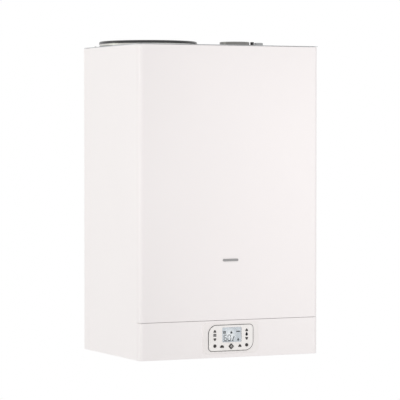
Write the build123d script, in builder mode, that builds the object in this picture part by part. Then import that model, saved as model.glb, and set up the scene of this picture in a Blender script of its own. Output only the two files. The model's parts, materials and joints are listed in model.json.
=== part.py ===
"""Wall-hung condensing combi boiler with a built-in storage tank.

Millimetres, +Z up, +X to the viewer's right, +Y towards the wall. The origin is the centre of
the two wall screws, on the wall plane. Heights called h are measured from the casing's floor.
"""
from build123d import *
import math
import os

# ---------------------------------------------------------------- driving dimensions
CASE_W = 600.0  # outside width
CASE_H = 950.0  # floor to top plate
CASE_D = 440.0  # front plane to the back of the casing
STAND_OFF = 26.0  # gap between the casing and the wall
FIX_H = 880.0  # height of the wall screws above the casing floor
SHEET = 1.2  # painted steel sheet
PLATE = 1.5  # galvanised plates
CORNER_R = 12.0  # folded vertical corners of the cover and the fascia
EDGE_R = 1.0  # its rolled upper and lower edges

FASCIA_TOP = 113.0  # the tilting fascia ends here
COVER_LOW = 114.0  # the lift-off cover starts here
PANEL_TOP = 947.5  # painted panels end under the top plate
COVER_RETURN = 20.0  # depth of the cover's folded sides
REAR_RETURN = 44.0  # depth of the rear frame's folded sides
SEAM = 1.5  # open seam between cover and side panels

HINGE_Y, HINGE_H = -454.0, 4.5  # tilt axis of the control box
HINGE_R = 2.2  # hinge pin
UNIT_W, UNIT_H = 149.0, 77.5  # removable control unit
UNIT_MID_H = 59.75  # its centre height on the fascia
UNIT_FRONT_Y = -471.0  # face of the control unit
UNIT_GAP = 1.5  # groove around the control unit

TANK_X, TANK_Y = -145.0, -176.0  # axis of the storage tank
ENGINE_X, ENGINE_H = 135.0, 640.0  # axis of the heat exchanger, which lies front to back
FLUE_Y = -216.0  # axis of the flue
FAN_X, FAN_H = -60.0, 640.0
PUMP_X, PUMP_Y, PUMP_H = 190.0, -230.0, 210.0
DIVERTER_X, DIVERTER_Y, DIVERTER_H = 268.0, -150.0, 172.0
PORT_Y = -110.0  # row of water and gas connections
PIPE_R = 9.0
STUB_LOW, STUB_TOP = -25.0, 8.0  # pipe ends, below and above the floor
THREAD_TOP = -1.0  # the thread ends just under the floor
STUB_34, STUB_12 = 13.2, 10.5  # outer radius of 3/4 and 1/2 inch male threads

# ---------------------------------------------------------------- worked-out places
HALF_W = CASE_W / 2
BACK_Y = -STAND_OFF
FRONT_Y = BACK_Y - CASE_D
FRAME_Y = BACK_Y - REAR_RETURN  # front edge of the rear frame's sides
RETURN_Y = FRONT_Y + COVER_RETURN  # rear edge of the cover's sides
SIDE_Y = RETURN_Y + SEAM  # front edge of the side panels


def level(h):
    """Row-frame Z of a height above the casing floor."""
    return h - FIX_H


def block(x, y, h, mode=Mode.ADD):
    """A box between the corners given as (low, high) pairs."""
    with Locations(((x[0] + x[1]) / 2, (y[0] + y[1]) / 2, level((h[0] + h[1]) / 2))):
        Box(x[1] - x[0], y[1] - y[0], h[1] - h[0], mode=mode)


def rod(x, y, h, radius, length, axis="Z", mode=Mode.ADD):
    """A cylinder that starts at x, y, h and runs along +axis."""
    turn = {"X": (0, 90, 0), "Y": (-90, 0, 0), "Z": (0, 0, 0)}[axis]
    with Locations((x, y, level(h))):
        Cylinder(radius, length, rotation=turn, mode=mode,
                 align=(Align.CENTER, Align.CENTER, Align.MIN))


def turned(x, y, h, profile, axis="Z", mode=Mode.ADD):
    """A solid of revolution from (radius, distance along the axis) points."""
    x_dir, z_dir, along = {
        "X": ((0, 1, 0), (0, 0, -1), (1, 0, 0)),
        "Y": ((1, 0, 0), (0, 0, 1), (0, 1, 0)),
        "Z": ((1, 0, 0), (0, -1, 0), (0, 0, 1)),
    }[axis]
    origin = (x, y, level(h))
    with BuildSketch(Plane(origin=origin, x_dir=x_dir, z_dir=z_dir)) as section:
        with BuildLine():
            Polyline(*profile, close=True)
        make_face()
    revolve(section.sketch, Axis(origin, along), mode=mode)


def tube(points, radius=PIPE_R, wall=1.0, bend=18.0):
    """A bent pipe through (x, y, h) points."""
    stops = [Vector(x, y, level(h)) for x, y, h in points]
    with BuildLine() as route:
        if len(stops) == 2:
            Line(*stops)
        else:
            FilletPolyline(*stops, radius=bend)
    with BuildSketch(Plane(origin=stops[0], z_dir=stops[1] - stops[0])) as section:
        Circle(radius)
        Circle(radius - wall, mode=Mode.SUBTRACT)
    sweep(section.sketch, path=route.line)


def stub(x, y, radius, bore):
    """The threaded end of a pipe, which passes through the floor."""
    turned(x, y, 0, [(bore, STUB_LOW), (radius - 1, STUB_LOW), (radius, STUB_LOW + 1),
                     (radius, THREAD_TOP), (PIPE_R, THREAD_TOP), (PIPE_R, STUB_TOP), (bore, STUB_TOP)])


def front_section(half_width, y_front, y_back, radius, h):
    """Plan of a cover that is folded back at both sides."""
    with BuildSketch(Plane.XY.offset(level(h))) as section:
        with BuildLine():
            FilletPolyline((-half_width, y_back), (-half_width, y_front),
                           (half_width, y_front), (half_width, y_back), radius=radius)
            Line((half_width, y_back), (-half_width, y_back))
        make_face()
    return section.sketch


def folded_front(cover, low, high):
    """A folded sheet cover, open at the back, added to the part being built."""
    extrude(front_section(HALF_W, FRONT_Y, RETURN_Y, CORNER_R, low), amount=high - low)
    rims = cover.edges().filter_by(
        lambda e: e.center().Y < RETURN_Y - 0.1 and abs(e.bounding_box().size.Z) < 0.01)
    fillet(rims, radius=EDGE_R)
    extrude(front_section(HALF_W - SHEET, FRONT_Y + SHEET, RETURN_Y + 1, CORNER_R - SHEET, low + SHEET),
            amount=high - low - 2 * SHEET, mode=Mode.SUBTRACT)


def write(piece, node):
    """Labels a finished piece and writes its STEP file."""
    piece.part.label = node
    export_step(piece.part, f"parts/{node}.step")


os.makedirs("parts", exist_ok=True)

# ================================================================ casing, fixed
BRACKET_SCREW_X = 220.0
HOOK_X = 255.0
HOOK_W = 30.0
HOOK_H = 905.0  # the casing hangs on the hooks at this height

with BuildPart() as wall_bracket:
    block((-275, 275), (-3, 0), (862, HOOK_H))
    with Locations(Location((0, -3, 0), (90, 0, 0))):
        with Locations((-BRACKET_SCREW_X, 0), (BRACKET_SCREW_X, 0)):
            Cylinder(5.0, 20, mode=Mode.SUBTRACT)
    for x in (-HOOK_X, HOOK_X):
        block((x - HOOK_W / 2, x + HOOK_W / 2), (-34, 0), (HOOK_H - 3, HOOK_H))
        block((x - HOOK_W / 2, x + HOOK_W / 2), (-34, -31), (HOOK_H - 3, HOOK_H + 16))
write(wall_bracket, "wall_bracket")

SHELF_H = ENGINE_H + 108.0  # the heat exchanger hangs under this shelf
FLANGE_LOW = 2.0  # inward flanges start above the floor plate
with BuildPart() as rear_frame:
    block((-HALF_W, HALF_W), (BACK_Y - SHEET, BACK_Y), (0, PANEL_TOP))
    for side in (-1, 1):
        edge = sorted((side * HALF_W, side * (HALF_W - SHEET)))
        lip = sorted((side * HALF_W, side * (HALF_W - 16)))
        foot = sorted((side * 285, side * 240))
        block(edge, (FRAME_Y, BACK_Y), (0, PANEL_TOP))
        block(lip, (FRAME_Y, FRAME_Y + SHEET), (FLANGE_LOW, PANEL_TOP))
        block(foot, (BACK_Y, 0), (40, 85))
        block((side * HOOK_X - HOOK_W / 2 - 4, side * HOOK_X + HOOK_W / 2 + 4), (-40, -20),
              (HOOK_H - 6, HOOK_H), mode=Mode.SUBTRACT)
        rod(side * BRACKET_SCREW_X, -40, FIX_H, 12, 30, "Y", mode=Mode.SUBTRACT)
    block((45, 225), (-170, BACK_Y - SHEET), (SHELF_H, SHELF_H + 2))
    block((45, 225), (BACK_Y - SHEET - 2, BACK_Y - SHEET), (SHELF_H - 26, SHELF_H))
    uprights = rear_frame.edges().filter_by(Axis.Z).filter_by(
        lambda e: abs(abs(e.center().X) - HALF_W) < 0.01 and e.length > 800)
    fillet(uprights, radius=1.1)
write(rear_frame, "rear_frame")


CLIP_X = 282.0  # the cover's studs and their clips
CLIP_HEIGHTS = (190.0, 880.0)
FLANGE_X = 264.0  # inner edge of a side panel's front flange


def side_panel(side):
    """One painted side, folded inwards along its front and rear edges."""
    with BuildPart() as panel:
        block(sorted((side * HALF_W, side * (HALF_W - SHEET))), (SIDE_Y, FRAME_Y), (0, PANEL_TOP))
        block(sorted((side * HALF_W, side * FLANGE_X)), (SIDE_Y, SIDE_Y + SHEET), (0, PANEL_TOP))
        block(sorted((side * HALF_W, side * (HALF_W - 16))), (FRAME_Y - SHEET, FRAME_Y),
              (FLANGE_LOW, PANEL_TOP))
        for clip_h in CLIP_HEIGHTS:
            rod(side * CLIP_X, SIDE_Y - 1, clip_h, 7.0, 5, "Y", mode=Mode.SUBTRACT)
        block(sorted((side * 297, side * (FLANGE_X - 1))), (SIDE_Y - 1, SIDE_Y + 3), (-1, COVER_LOW),
              mode=Mode.SUBTRACT)
        folds = panel.edges().filter_by(Axis.Z).filter_by(
            lambda e: abs(abs(e.center().X) - HALF_W) < 0.01 and e.length > 800)
        fillet(folds, radius=1.1)
    return panel


write(side_panel(-1), "side_panel_left")
write(side_panel(1), "side_panel_right")

with BuildPart() as top_panel:
    block((-HALF_W + 0.5, HALF_W - 0.5), (FRONT_Y + 1, BACK_Y - 0.3), (CASE_H - PLATE, CASE_H))
    for side in (-1, 1):
        block(sorted((side * 298.4, side * (298.4 - PLATE))), (-440, -75), (925, CASE_H - PLATE))
    block((-FLANGE_X, FLANGE_X), (-442.5, -441), (925, CASE_H - PLATE))
    rod(TANK_X, TANK_Y, CASE_H - 3, 148.0, 5, mode=Mode.SUBTRACT)
    rod(ENGINE_X, FLUE_Y, CASE_H - 3, 47.5, 5, mode=Mode.SUBTRACT)
write(top_panel, "top_panel")

TANK_FEET = [(TANK_X + 110 * math.cos(math.radians(a)), TANK_Y + 110 * math.sin(math.radians(a)))
             for a in (80, 200, 320)]
PORTS = {"hot": (-150, STUB_12), "cold": (-90, STUB_12), "gas": (-10, STUB_34),
         "return": (70, STUB_34), "flow": (150, STUB_34)}
DRAIN_X, DRAIN_Y, DRAIN_R = 215.0, -172.0, 11.0
with BuildPart() as bottom_tray:
    block((-298.4, 298.4), (-354, BACK_Y - SHEET), (0, PLATE))
    block((-298.4, 298.4), (-354, -354 + PLATE), (0, 18))
    for side in (-1, 1):
        arm = sorted((side * 290, side * 292))
        block(arm, (HINGE_Y - 4.1, -352.5), (0.4, HINGE_H + 4.1))
        rod(arm[0] - 1, HINGE_Y, HINGE_H, HINGE_R + 0.06, 4, "X", mode=Mode.SUBTRACT)
    for x, radius in PORTS.values():
        rod(x, PORT_Y, -1, radius + 1.5, 4, mode=Mode.SUBTRACT)
    rod(DRAIN_X, DRAIN_Y, -1, DRAIN_R + 1.5, 4, mode=Mode.SUBTRACT)
    for x, y in TANK_FEET:
        rod(x, y, PLATE, 10, 114 - PLATE)
write(bottom_tray, "bottom_tray")

with BuildPart() as cover_clips:
    for side in (-1, 1):
        for clip_h in CLIP_HEIGHTS:
            turned(side * CLIP_X, SIDE_Y, clip_h, [(3.7, -1.7), (9.5, -1.7), (9.5, 0), (6.8, 0), (6.8, 8.5),
                                                   (5, 10.5), (3.7, 10.5)], "Y")
write(cover_clips, "cover_clips")

with BuildPart() as panel_screws:
    for side in (-1, 1):
        for y in (-400, -250, -100):
            turned(side * (HALF_W - 9), y, CASE_H, [(0, 0), (4.2, 0), (4.2, 1.2), (2.6, 2.4), (0, 2.4)])
write(panel_screws, "panel_screws")

# ================================================================ lift-off front cover
with BuildPart() as front_cover:
    folded_front(front_cover, COVER_LOW, PANEL_TOP)
write(front_cover, "front_cover")

with BuildPart() as cover_insulation:
    block((-268, 268), (FRONT_Y + SHEET, FRONT_Y + SHEET + 9), (130, 930))
    chamfer(cover_insulation.faces().sort_by(Axis.Y)[-1].edges(), length=5)
write(cover_insulation, "cover_insulation")

with BuildPart() as cover_studs:
    for side in (-1, 1):
        for clip_h in CLIP_HEIGHTS:
            turned(side * CLIP_X, FRONT_Y + SHEET, clip_h,
                   [(0, 0), (6, 0), (6, 1.5), (2, 3), (2, 20.5), (3.3, 22), (3.3, 24), (2, 25.5), (0, 25.5)],
                   "Y")
write(cover_studs, "cover_studs")

# ================================================================ tilting control box
CRADLE_W, CRADLE_H, CRADLE_R = 188.0, 94.0, 15.0
CRADLE_FACE_Y = FRONT_Y - 2
CRADLE_BACK_Y = -440.0


def unit_outline(grow, y):
    """Face of the control unit: two wide and two tight corners, seen from the front."""
    half_w, half_h = UNIT_W / 2 + grow, UNIT_H / 2 + grow
    wide, tight = 26.0 + grow, 11.0 + grow
    plane = Plane(origin=(0, y, level(UNIT_MID_H)), x_dir=(1, 0, 0), z_dir=(0, -1, 0))
    with BuildSketch(plane) as section:
        with BuildLine():
            FilletPolyline((-half_w, half_h), (half_w, half_h), (half_w, -half_h), (-half_w, -half_h),
                           radius=[wide, tight, wide, tight], close=True)
        make_face()
    return section.sketch


def face_rectangle(x_mid, h_mid, width, height, radius, y):
    """A rounded rectangle in a plane that faces the viewer."""
    plane = Plane(origin=(x_mid, y, level(h_mid)), x_dir=(1, 0, 0), z_dir=(0, -1, 0))
    with BuildSketch(plane) as section:
        RectangleRounded(width, height, radius)
    return section.sketch


with BuildPart() as fascia:
    folded_front(fascia, 0, FASCIA_TOP)
    extrude(face_rectangle(0, UNIT_MID_H, CRADLE_W - 6, CRADLE_H - 6, CRADLE_R - 3, FRONT_Y - 5),
            amount=-10, mode=Mode.SUBTRACT)
    for side in (-1, 1):
        block(sorted((side * 287, side * 295)), (-462, RETURN_Y + 1), (-1, 2), mode=Mode.SUBTRACT)
write(fascia, "fascia")

BOX_HALF = 285.0
BOX_WALL = 2.5
LID_FROM, LID_TO = (-410.0, 92.0), (-360.0, 40.0)  # (y, h) of the sloping rear face


def box_section(inset, x):
    """Side view of the control box, as (y, h) points on a plane across X."""
    plane = Plane(origin=(x, 0, level(0)), x_dir=(0, 1, 0), z_dir=(1, 0, 0))
    low, front = 1.3 + inset, -464.7
    with BuildSketch(plane) as section:
        with BuildLine():
            Polyline((front, low), (front, 106 - inset), (-428 - inset * 0.3, 106 - inset),
                     (LID_FROM[0] - inset * 0.6, LID_FROM[1] - inset),
                     (LID_TO[0] - inset, LID_TO[1] - inset * 0.6), (LID_TO[0] - inset, low), close=True)
        make_face()
    return section.sketch


slope = math.atan2(LID_FROM[1] - LID_TO[1], LID_TO[0] - LID_FROM[0])
lid_plane = Plane(origin=(0, (LID_FROM[0] + LID_TO[0]) / 2, level((LID_FROM[1] + LID_TO[1]) / 2)),
                  x_dir=(1, 0, 0), z_dir=(0, math.sin(slope), math.cos(slope)))
LID_W, LID_D, LID_T = 420.0, 46.0, 2.0
with BuildPart() as control_box_housing:
    extrude(box_section(0, -BOX_HALF), amount=2 * BOX_HALF)
    extrude(box_section(BOX_WALL, BOX_WALL - BOX_HALF), amount=2 * (BOX_HALF - BOX_WALL),
            mode=Mode.SUBTRACT)
    with BuildSketch(lid_plane):
        Rectangle(LID_W, LID_D)
    extrude(amount=-12, mode=Mode.SUBTRACT)
    for side in (-1, 1):
        start = BOX_HALF - 1 if side > 0 else -BOX_HALF - 8.5
        rod(start, HINGE_Y, HINGE_H, HINGE_R, 9.5, "X")
write(control_box_housing, "control_box_housing")

with BuildPart() as control_box_lid:
    with BuildSketch(lid_plane):
        Rectangle(LID_W - 1, LID_D - 1)
    extrude(amount=-LID_T)
    with BuildSketch(lid_plane):
        with GridLocations(LID_W - 20, 0, 2, 1):
            Circle(4)
    extrude(amount=1.5)
write(control_box_lid, "control_box_lid")

with BuildPart() as main_pcb:
    block((-215, 215), (-436, -368), (14, 15.6))
    for x, y, w, d, tall in ((-180, -410, 36, 30, 26), (-135, -412, 22, 28, 18), (-95, -398, 30, 18, 12),
                             (60, -412, 24, 24, 9), (110, -400, 40, 34, 22), (160, -414, 18, 30, 16)):
        block((x - w / 2, x + w / 2), (y - d / 2, y + d / 2), (15.6, 15.6 + tall))
    for x in range(180, 211, 10):
        block((x - 4, x + 4), (-392, -372), (15.6, 28))
    for x, y in ((-200, -430), (200, -430), (-200, -374), (205, -432)):
        rod(x, y, 1.3 + BOX_WALL, 4, 14 - 1.3 - BOX_WALL)
write(main_pcb, "main_pcb")

with BuildPart() as unit_cradle:
    extrude(face_rectangle(0, UNIT_MID_H, CRADLE_W, CRADLE_H, CRADLE_R, CRADLE_FACE_Y), amount=-2)
    fillet(unit_cradle.faces().sort_by(Axis.Y)[0].edges(), radius=1.2)
    extrude(face_rectangle(0, UNIT_MID_H, CRADLE_W - 9, CRADLE_H - 9, CRADLE_R - 4.5, FRONT_Y),
            amount=FRONT_Y - CRADLE_BACK_Y)
    extrude(unit_outline(UNIT_GAP, CRADLE_FACE_Y - 1), amount=-(CRADLE_BACK_Y - 2 - CRADLE_FACE_Y + 1),
            mode=Mode.SUBTRACT)
write(unit_cradle, "unit_cradle")

# ================================================================ removable control unit
WINDOW_X, WINDOW_MID = 2.5, 69.5  # centre of the window, across and up
WINDOW_W, WINDOW_H = 66.0, 46.0
LCD_W, LCD_H = 61.0, 42.0
LCD_RIM = 2.0  # the module is wider and taller than its glass by this on each side
FRONT_WALL = 2.5
UNIT_BACK_Y = -443.0
BOARD_Y = -462.0
LCD_Y = -468.2  # face of the display, behind the window
BUTTON_PROUD = 1.6
BUTTON_GAP = 0.35
BUTTON_TRAVEL = 1.0

# name: (x, height, shape)
BUTTONS = {
    "button_heating_up": (-55.0, 82.0, "up"),
    "button_heating_down": (-55.0, 55.5, "down"),
    "button_water_up": (52.5, 83.0, "up"),
    "button_water_down": (52.5, 55.5, "down"),
    "button_power": (-55.0, 36.5, "round"),
    "button_reset": (-31.0, 35.0, "half"),
    "button_select": (0.0, 34.0, "diamond"),
    "button_program": (29.5, 36.0, "peak"),
    "button_info": (52.5, 36.5, "round"),
}


def button_face(shape, x, h, grow, y):
    """Outline of one button cap, grown by a margin, in a plane that faces the viewer."""
    plane = Plane(origin=(x, y, level(h)), x_dir=(1, 0, 0), z_dir=(0, -1, 0))
    with BuildSketch(plane) as section:
        if shape == "round":
            Circle(4.9 + grow)
        elif shape == "half":
            with BuildLine():
                CenterArc((0, -3), 6.2 + grow, 0, 180)
                Polyline((-6.2 - grow, -3), (-6.2 - grow, -4.2 - grow),
                         (6.2 + grow, -4.2 - grow), (6.2 + grow, -3))
            make_face()
        elif shape == "diamond":
            Rectangle(13.2 + 2 * grow, 13.2 + 2 * grow, rotation=45)
            fillet(section.vertices(), radius=2 + grow)
        else:
            width, tall = (13.0, 8.6) if shape == "peak" else (10.4, 8.4)
            tip = -1 if shape == "down" else 1
            Polygon((-width / 2 - grow * 1.6, -tip * (tall / 2 + grow)),
                    (width / 2 + grow * 1.6, -tip * (tall / 2 + grow)),
                    (0, tip * (tall / 2 + grow * 1.8)), align=None)
            fillet(section.vertices(), radius=1.0 + grow / 2)
    return section.sketch


with BuildPart() as unit_front:
    extrude(unit_outline(0, UNIT_FRONT_Y), amount=-(UNIT_BACK_Y - 3 - UNIT_FRONT_Y))
    fillet(unit_front.faces().sort_by(Axis.Y)[0].edges(), radius=2.2)
    extrude(unit_outline(-2.2, UNIT_FRONT_Y + FRONT_WALL), amount=-40, mode=Mode.SUBTRACT)
    extrude(face_rectangle(WINDOW_X, WINDOW_MID, WINDOW_W, WINDOW_H, 4, UNIT_FRONT_Y - 1), amount=-5,
            mode=Mode.SUBTRACT)
    for x, h, shape in BUTTONS.values():
        extrude(button_face(shape, x, h, BUTTON_GAP, UNIT_FRONT_Y - 1), amount=-5, mode=Mode.SUBTRACT)
write(unit_front, "unit_front")

with BuildPart() as unit_back:
    extrude(unit_outline(0, UNIT_BACK_Y - 3), amount=-3)
    extrude(unit_outline(-2.5, UNIT_BACK_Y - 6), amount=-3)
    for x in (-60, 60):
        block((x - 3, x + 3), (BOARD_Y + 1.6, UNIT_BACK_Y - 3), (30, 36))
write(unit_back, "unit_back")

with BuildPart() as display_window:
    extrude(face_rectangle(WINDOW_X, WINDOW_MID, WINDOW_W - 0.2, WINDOW_H - 0.2, 3.9, UNIT_FRONT_Y - 0.3),
            amount=-2)
write(display_window, "display_window")

with BuildPart() as lcd_module:
    for grow, y_front, y_back in ((LCD_RIM, LCD_Y + 0.6, BOARD_Y - 0.2), (0, LCD_Y, LCD_Y + 0.6)):
        half_w, half_h = LCD_W / 2 + grow, LCD_H / 2 + grow
        block((WINDOW_X - half_w, WINDOW_X + half_w), (y_front, y_back),
              (WINDOW_MID - half_h, WINDOW_MID + half_h))
write(lcd_module, "lcd_module")

with BuildPart() as unit_pcb:
    extrude(unit_outline(-3.5, BOARD_Y), amount=-1.6)
    for x, h, shape in BUTTONS.values():
        block((x - 3, x + 3), (BOARD_Y - 1.6, BOARD_Y), (h - 3, h + 3))
        rod(x, BOARD_Y - 3.0, h, 1.6, 1.6, "Y")
    block((-30, -5), (BOARD_Y + 1.6, BOARD_Y + 6), (50, 56))
write(unit_pcb, "unit_pcb")

for node, (x, h, shape) in BUTTONS.items():
    with BuildPart() as button:
        extrude(button_face(shape, x, h, 0, UNIT_FRONT_Y - BUTTON_PROUD), amount=-(BUTTON_PROUD + FRONT_WALL))
        fillet(button.faces().sort_by(Axis.Y)[0].edges(), radius=0.6)
        if shape == "diamond":
            turned(x, UNIT_FRONT_Y - BUTTON_PROUD, h, [(2.6, -1), (4.0, -1), (4.0, 0.5), (2.6, 0.5)], "Y",
                   mode=Mode.SUBTRACT)
        extrude(button_face(shape, x, h, 1.1, UNIT_FRONT_Y + FRONT_WALL + 0.2), amount=-1.0)
        extrude(button_face(shape, x, h, -0.8, UNIT_FRONT_Y + FRONT_WALL), amount=-0.3)
        rod(x, UNIT_FRONT_Y + FRONT_WALL + 1.2, h, 1.4, 1.1, "Y")
    write(button, node)

# ================================================================ heat engine
SHELL_R, SHELL_WALL = 108.0, 3.0
SHELL_FRONT, SHELL_BACK = -330.0, -110.0
DOOR_T = 12.0
SPIGOT_R, FLUE_R = 44.0, 40.0
SPIGOT_TOP = 770.0

with BuildPart() as exchanger_shell:
    inner = SHELL_R - SHELL_WALL
    turned(ENGINE_X, 0, ENGINE_H, [(0, SHELL_BACK - 3), (inner, SHELL_BACK - 3), (inner, SHELL_FRONT),
                                   (SHELL_R, SHELL_FRONT), (SHELL_R, SHELL_BACK), (0, SHELL_BACK)], "Y")
    rod(ENGINE_X, FLUE_Y, ENGINE_H + 85, SPIGOT_R, SPIGOT_TOP - ENGINE_H - 85)
    rod(ENGINE_X, FLUE_Y, ENGINE_H + 60, SPIGOT_R - 3, 100, mode=Mode.SUBTRACT)
    turned(ENGINE_X, 0, ENGINE_H, [(0, SHELL_BACK - 3), (inner, SHELL_BACK - 3), (inner, SHELL_FRONT - 1),
                                   (0, SHELL_FRONT - 1)], "Y", mode=Mode.SUBTRACT)
    rod(ENGINE_X + 90, DIVERTER_Y, ENGINE_H, PIPE_R, 30, "X", mode=Mode.SUBTRACT)
    rod(PUMP_X, PUMP_Y, ENGINE_H - SHELL_R, PIPE_R, 40, mode=Mode.SUBTRACT)
    rod(DRAIN_X, DRAIN_Y, ENGINE_H - SHELL_R, 9, 60, mode=Mode.SUBTRACT)
write(exchanger_shell, "exchanger_shell")

CORE_R, WEB_R, FIN_R = 94.0, 86.0, 62.0  # outside, inside and tips of the finned core
FIN_START, FIN_T, FIN_PITCH, FIN_COUNT = SHELL_FRONT + 8, 3.0, 9.0, 18
with BuildPart() as exchanger_core:
    outline = [(CORE_R, FIN_START)]
    for turn in range(FIN_COUNT):
        y = FIN_START + turn * FIN_PITCH
        outline += [(FIN_R, y), (FIN_R, y + FIN_T), (WEB_R, y + FIN_T), (WEB_R, y + FIN_PITCH)]
    outline[-2:] = [(CORE_R, y + FIN_T)]
    turned(ENGINE_X, 0, ENGINE_H, outline, "Y")
    for angle in (30, 150, 210, 330):
        x = ENGINE_X + 99 * math.cos(math.radians(angle))
        h = ENGINE_H + 99 * math.sin(math.radians(angle))
        rod(x, SHELL_FRONT + 10, h, 5.8, 150, "Y")
write(exchanger_core, "exchanger_core")

ELECTRODES = [(ENGINE_X + 50 * math.cos(math.radians(a)), ENGINE_H + 50 * math.sin(math.radians(a)))
              for a in (12, 34, 200)]
with BuildPart() as burner_door:
    turned(ENGINE_X, SHELL_FRONT, ENGINE_H, [(22, -DOOR_T), (SHELL_R, -DOOR_T), (SHELL_R, 0), (60, 0),
                                             (58, 6), (22, 6)], "Y")
    for x, h in ELECTRODES:
        rod(x, SHELL_FRONT - DOOR_T - 16, h, 4.5, 44, "Y")
        rod(x, SHELL_FRONT + 10, h, 1.3, 34, "Y")
    for turn in range(6):
        angle = math.radians(30 + 60 * turn)
        x, h = ENGINE_X + 100 * math.cos(angle), ENGINE_H + 100 * math.sin(angle)
        rod(x, SHELL_FRONT - DOOR_T - 6, h, 5, 6, "Y")
write(burner_door, "burner_door")

with BuildPart() as burner_tube:
    turned(ENGINE_X, SHELL_FRONT, ENGINE_H, [(30, 6.2), (44, 6.2), (44, 8), (34, 8), (34, 150), (0, 150),
                                             (0, 148.5), (32.5, 148.5), (32.5, 8), (30, 8)], "Y")
    for ring in range(6):
        for slot in range(12):
            angle = 30 * slot + 15 * (ring % 2)
            y = SHELL_FRONT + 22 + 21 * ring
            with Locations(Location((ENGINE_X, y, level(ENGINE_H)), (0, angle, 0))):
                with Locations((0, 0, 33)):
                    Box(2, 14, 8, mode=Mode.SUBTRACT)
write(burner_tube, "burner_tube")

FAN_FRONT, FAN_BACK = -436.0, -388.0
FAN_R, FAN_WALL = 60.0, 3.0
DUCT = ((FAN_X, ENGINE_X + 30), (-430.0, -394.0), (FAN_H + 20, FAN_H + 54))
ELBOW = ((ENGINE_X - 30, ENGINE_X + 30), (-430.0, SHELL_FRONT - DOOR_T), (FAN_H - 30, FAN_H + 54))


def shrink(span, wall):
    """A (low, high) pair moved inwards by the wall at both ends."""
    return span[0] + wall, span[1] - wall


with BuildPart() as fan_housing:
    rod(FAN_X, FAN_FRONT, FAN_H, FAN_R, FAN_BACK - FAN_FRONT, "Y")
    block(*DUCT)
    block(*ELBOW)
    rod(FAN_X, FAN_FRONT + FAN_WALL, FAN_H, FAN_R - FAN_WALL, FAN_BACK - FAN_FRONT - 2 * FAN_WALL, "Y",
        mode=Mode.SUBTRACT)
    for duct in (DUCT, ELBOW):
        block(*(shrink(span, FAN_WALL) for span in duct), mode=Mode.SUBTRACT)
    rod(ENGINE_X, SHELL_FRONT - DOOR_T - 5, ENGINE_H, 22, 10, "Y", mode=Mode.SUBTRACT)
    rod(FAN_X, FAN_FRONT - 1, FAN_H, 20, 6, "Y", mode=Mode.SUBTRACT)
    rod(FAN_X, FAN_BACK - 5, FAN_H, 6, 8, "Y", mode=Mode.SUBTRACT)
write(fan_housing, "fan_housing")

MOTOR_BACK = -342.0
SHAFT_R = 3.0
with BuildPart() as fan_motor:
    turned(FAN_X, 0, FAN_H, [(SHAFT_R + 0.05, FAN_BACK), (34, FAN_BACK), (34, FAN_BACK + 8),
                             (30, FAN_BACK + 12), (30, MOTOR_BACK - 4), (26, MOTOR_BACK), (0, MOTOR_BACK),
                             (0, MOTOR_BACK - 10), (SHAFT_R + 0.05, MOTOR_BACK - 10)], "Y")
write(fan_motor, "fan_motor")

with BuildPart() as fan_impeller:
    turned(FAN_X, 0, FAN_H, [(0, FAN_BACK - 24), (9, FAN_BACK - 24), (12, FAN_BACK - 8), (50, FAN_BACK - 8),
                             (50, FAN_BACK - 6), (SHAFT_R, FAN_BACK - 6), (SHAFT_R, MOTOR_BACK - 12),
                             (0, MOTOR_BACK - 12)], "Y")
    for blade in range(18):
        with Locations(Location((FAN_X, FAN_BACK - 20, level(FAN_H)), (0, 20 * blade, 0))):
            with Locations(Location((0, 0, 37), (0, 28, 0))):
                Box(1.2, 24, 22)
write(fan_impeller, "fan_impeller")

VALVE = ((-96.0, -24.0), (-453.0, -389.0), (440.0, 530.0))
with BuildPart() as gas_valve:
    block(*VALVE)
    for h in (465, 505):
        rod(VALVE[0][0] - 26, -420, h, 14, 26, "X")
    rod(FAN_X, FAN_FRONT - 6, 530, 5.5, 84)
    turned(FAN_X, 0, FAN_H, [(14, FAN_FRONT - 10), (32, FAN_FRONT - 10), (32, FAN_FRONT - 4), (24, FAN_FRONT),
                             (20, FAN_FRONT), (14, FAN_FRONT - 6)], "Y")
write(gas_valve, "gas_valve")

with BuildPart() as gas_pipe:
    gas_x = PORTS["gas"][0]
    stub(gas_x, PORT_Y, STUB_34, 8)
    tube([(gas_x, PORT_Y, STUB_TOP), (gas_x, PORT_Y, 60), (17, -336, 60), (17, -336, 410),
          (FAN_X, -408, 410), (FAN_X, -408, 440)])
write(gas_pipe, "gas_pipe")

# ---------------------------------------------------------------- flue
SOCKET_R, SOCKET_DEPTH = 40.3, 40.0
COLLAR_R, COLLAR_TOP = 46.2, 969.0
COLLAR_LOW = COLLAR_TOP - SOCKET_DEPTH - 6
COLLAR_PLATE = ((ENGINE_X - 53, ENGINE_X + 107), (FLUE_Y - 52, FLUE_Y + 52), (CASE_H, CASE_H + 3))
CAP_X, CAP_R, CAP_TOP = ENGINE_X + 62, 5.8, CASE_H + 20
NIPPLE_R, NIPPLE_TOP = 4.4, CASE_H + 15
BOSS_X, BOSS_W, BOSS_D, BOSS_TOP = 220.0, 28.0, 18.0, 968.0  # blanked second test point
with BuildPart() as flue_pipe:
    tube([(ENGINE_X, FLUE_Y, SPIGOT_TOP), (ENGINE_X, FLUE_Y, COLLAR_LOW)], radius=FLUE_R, wall=1.5)
write(flue_pipe, "flue_pipe")

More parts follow.
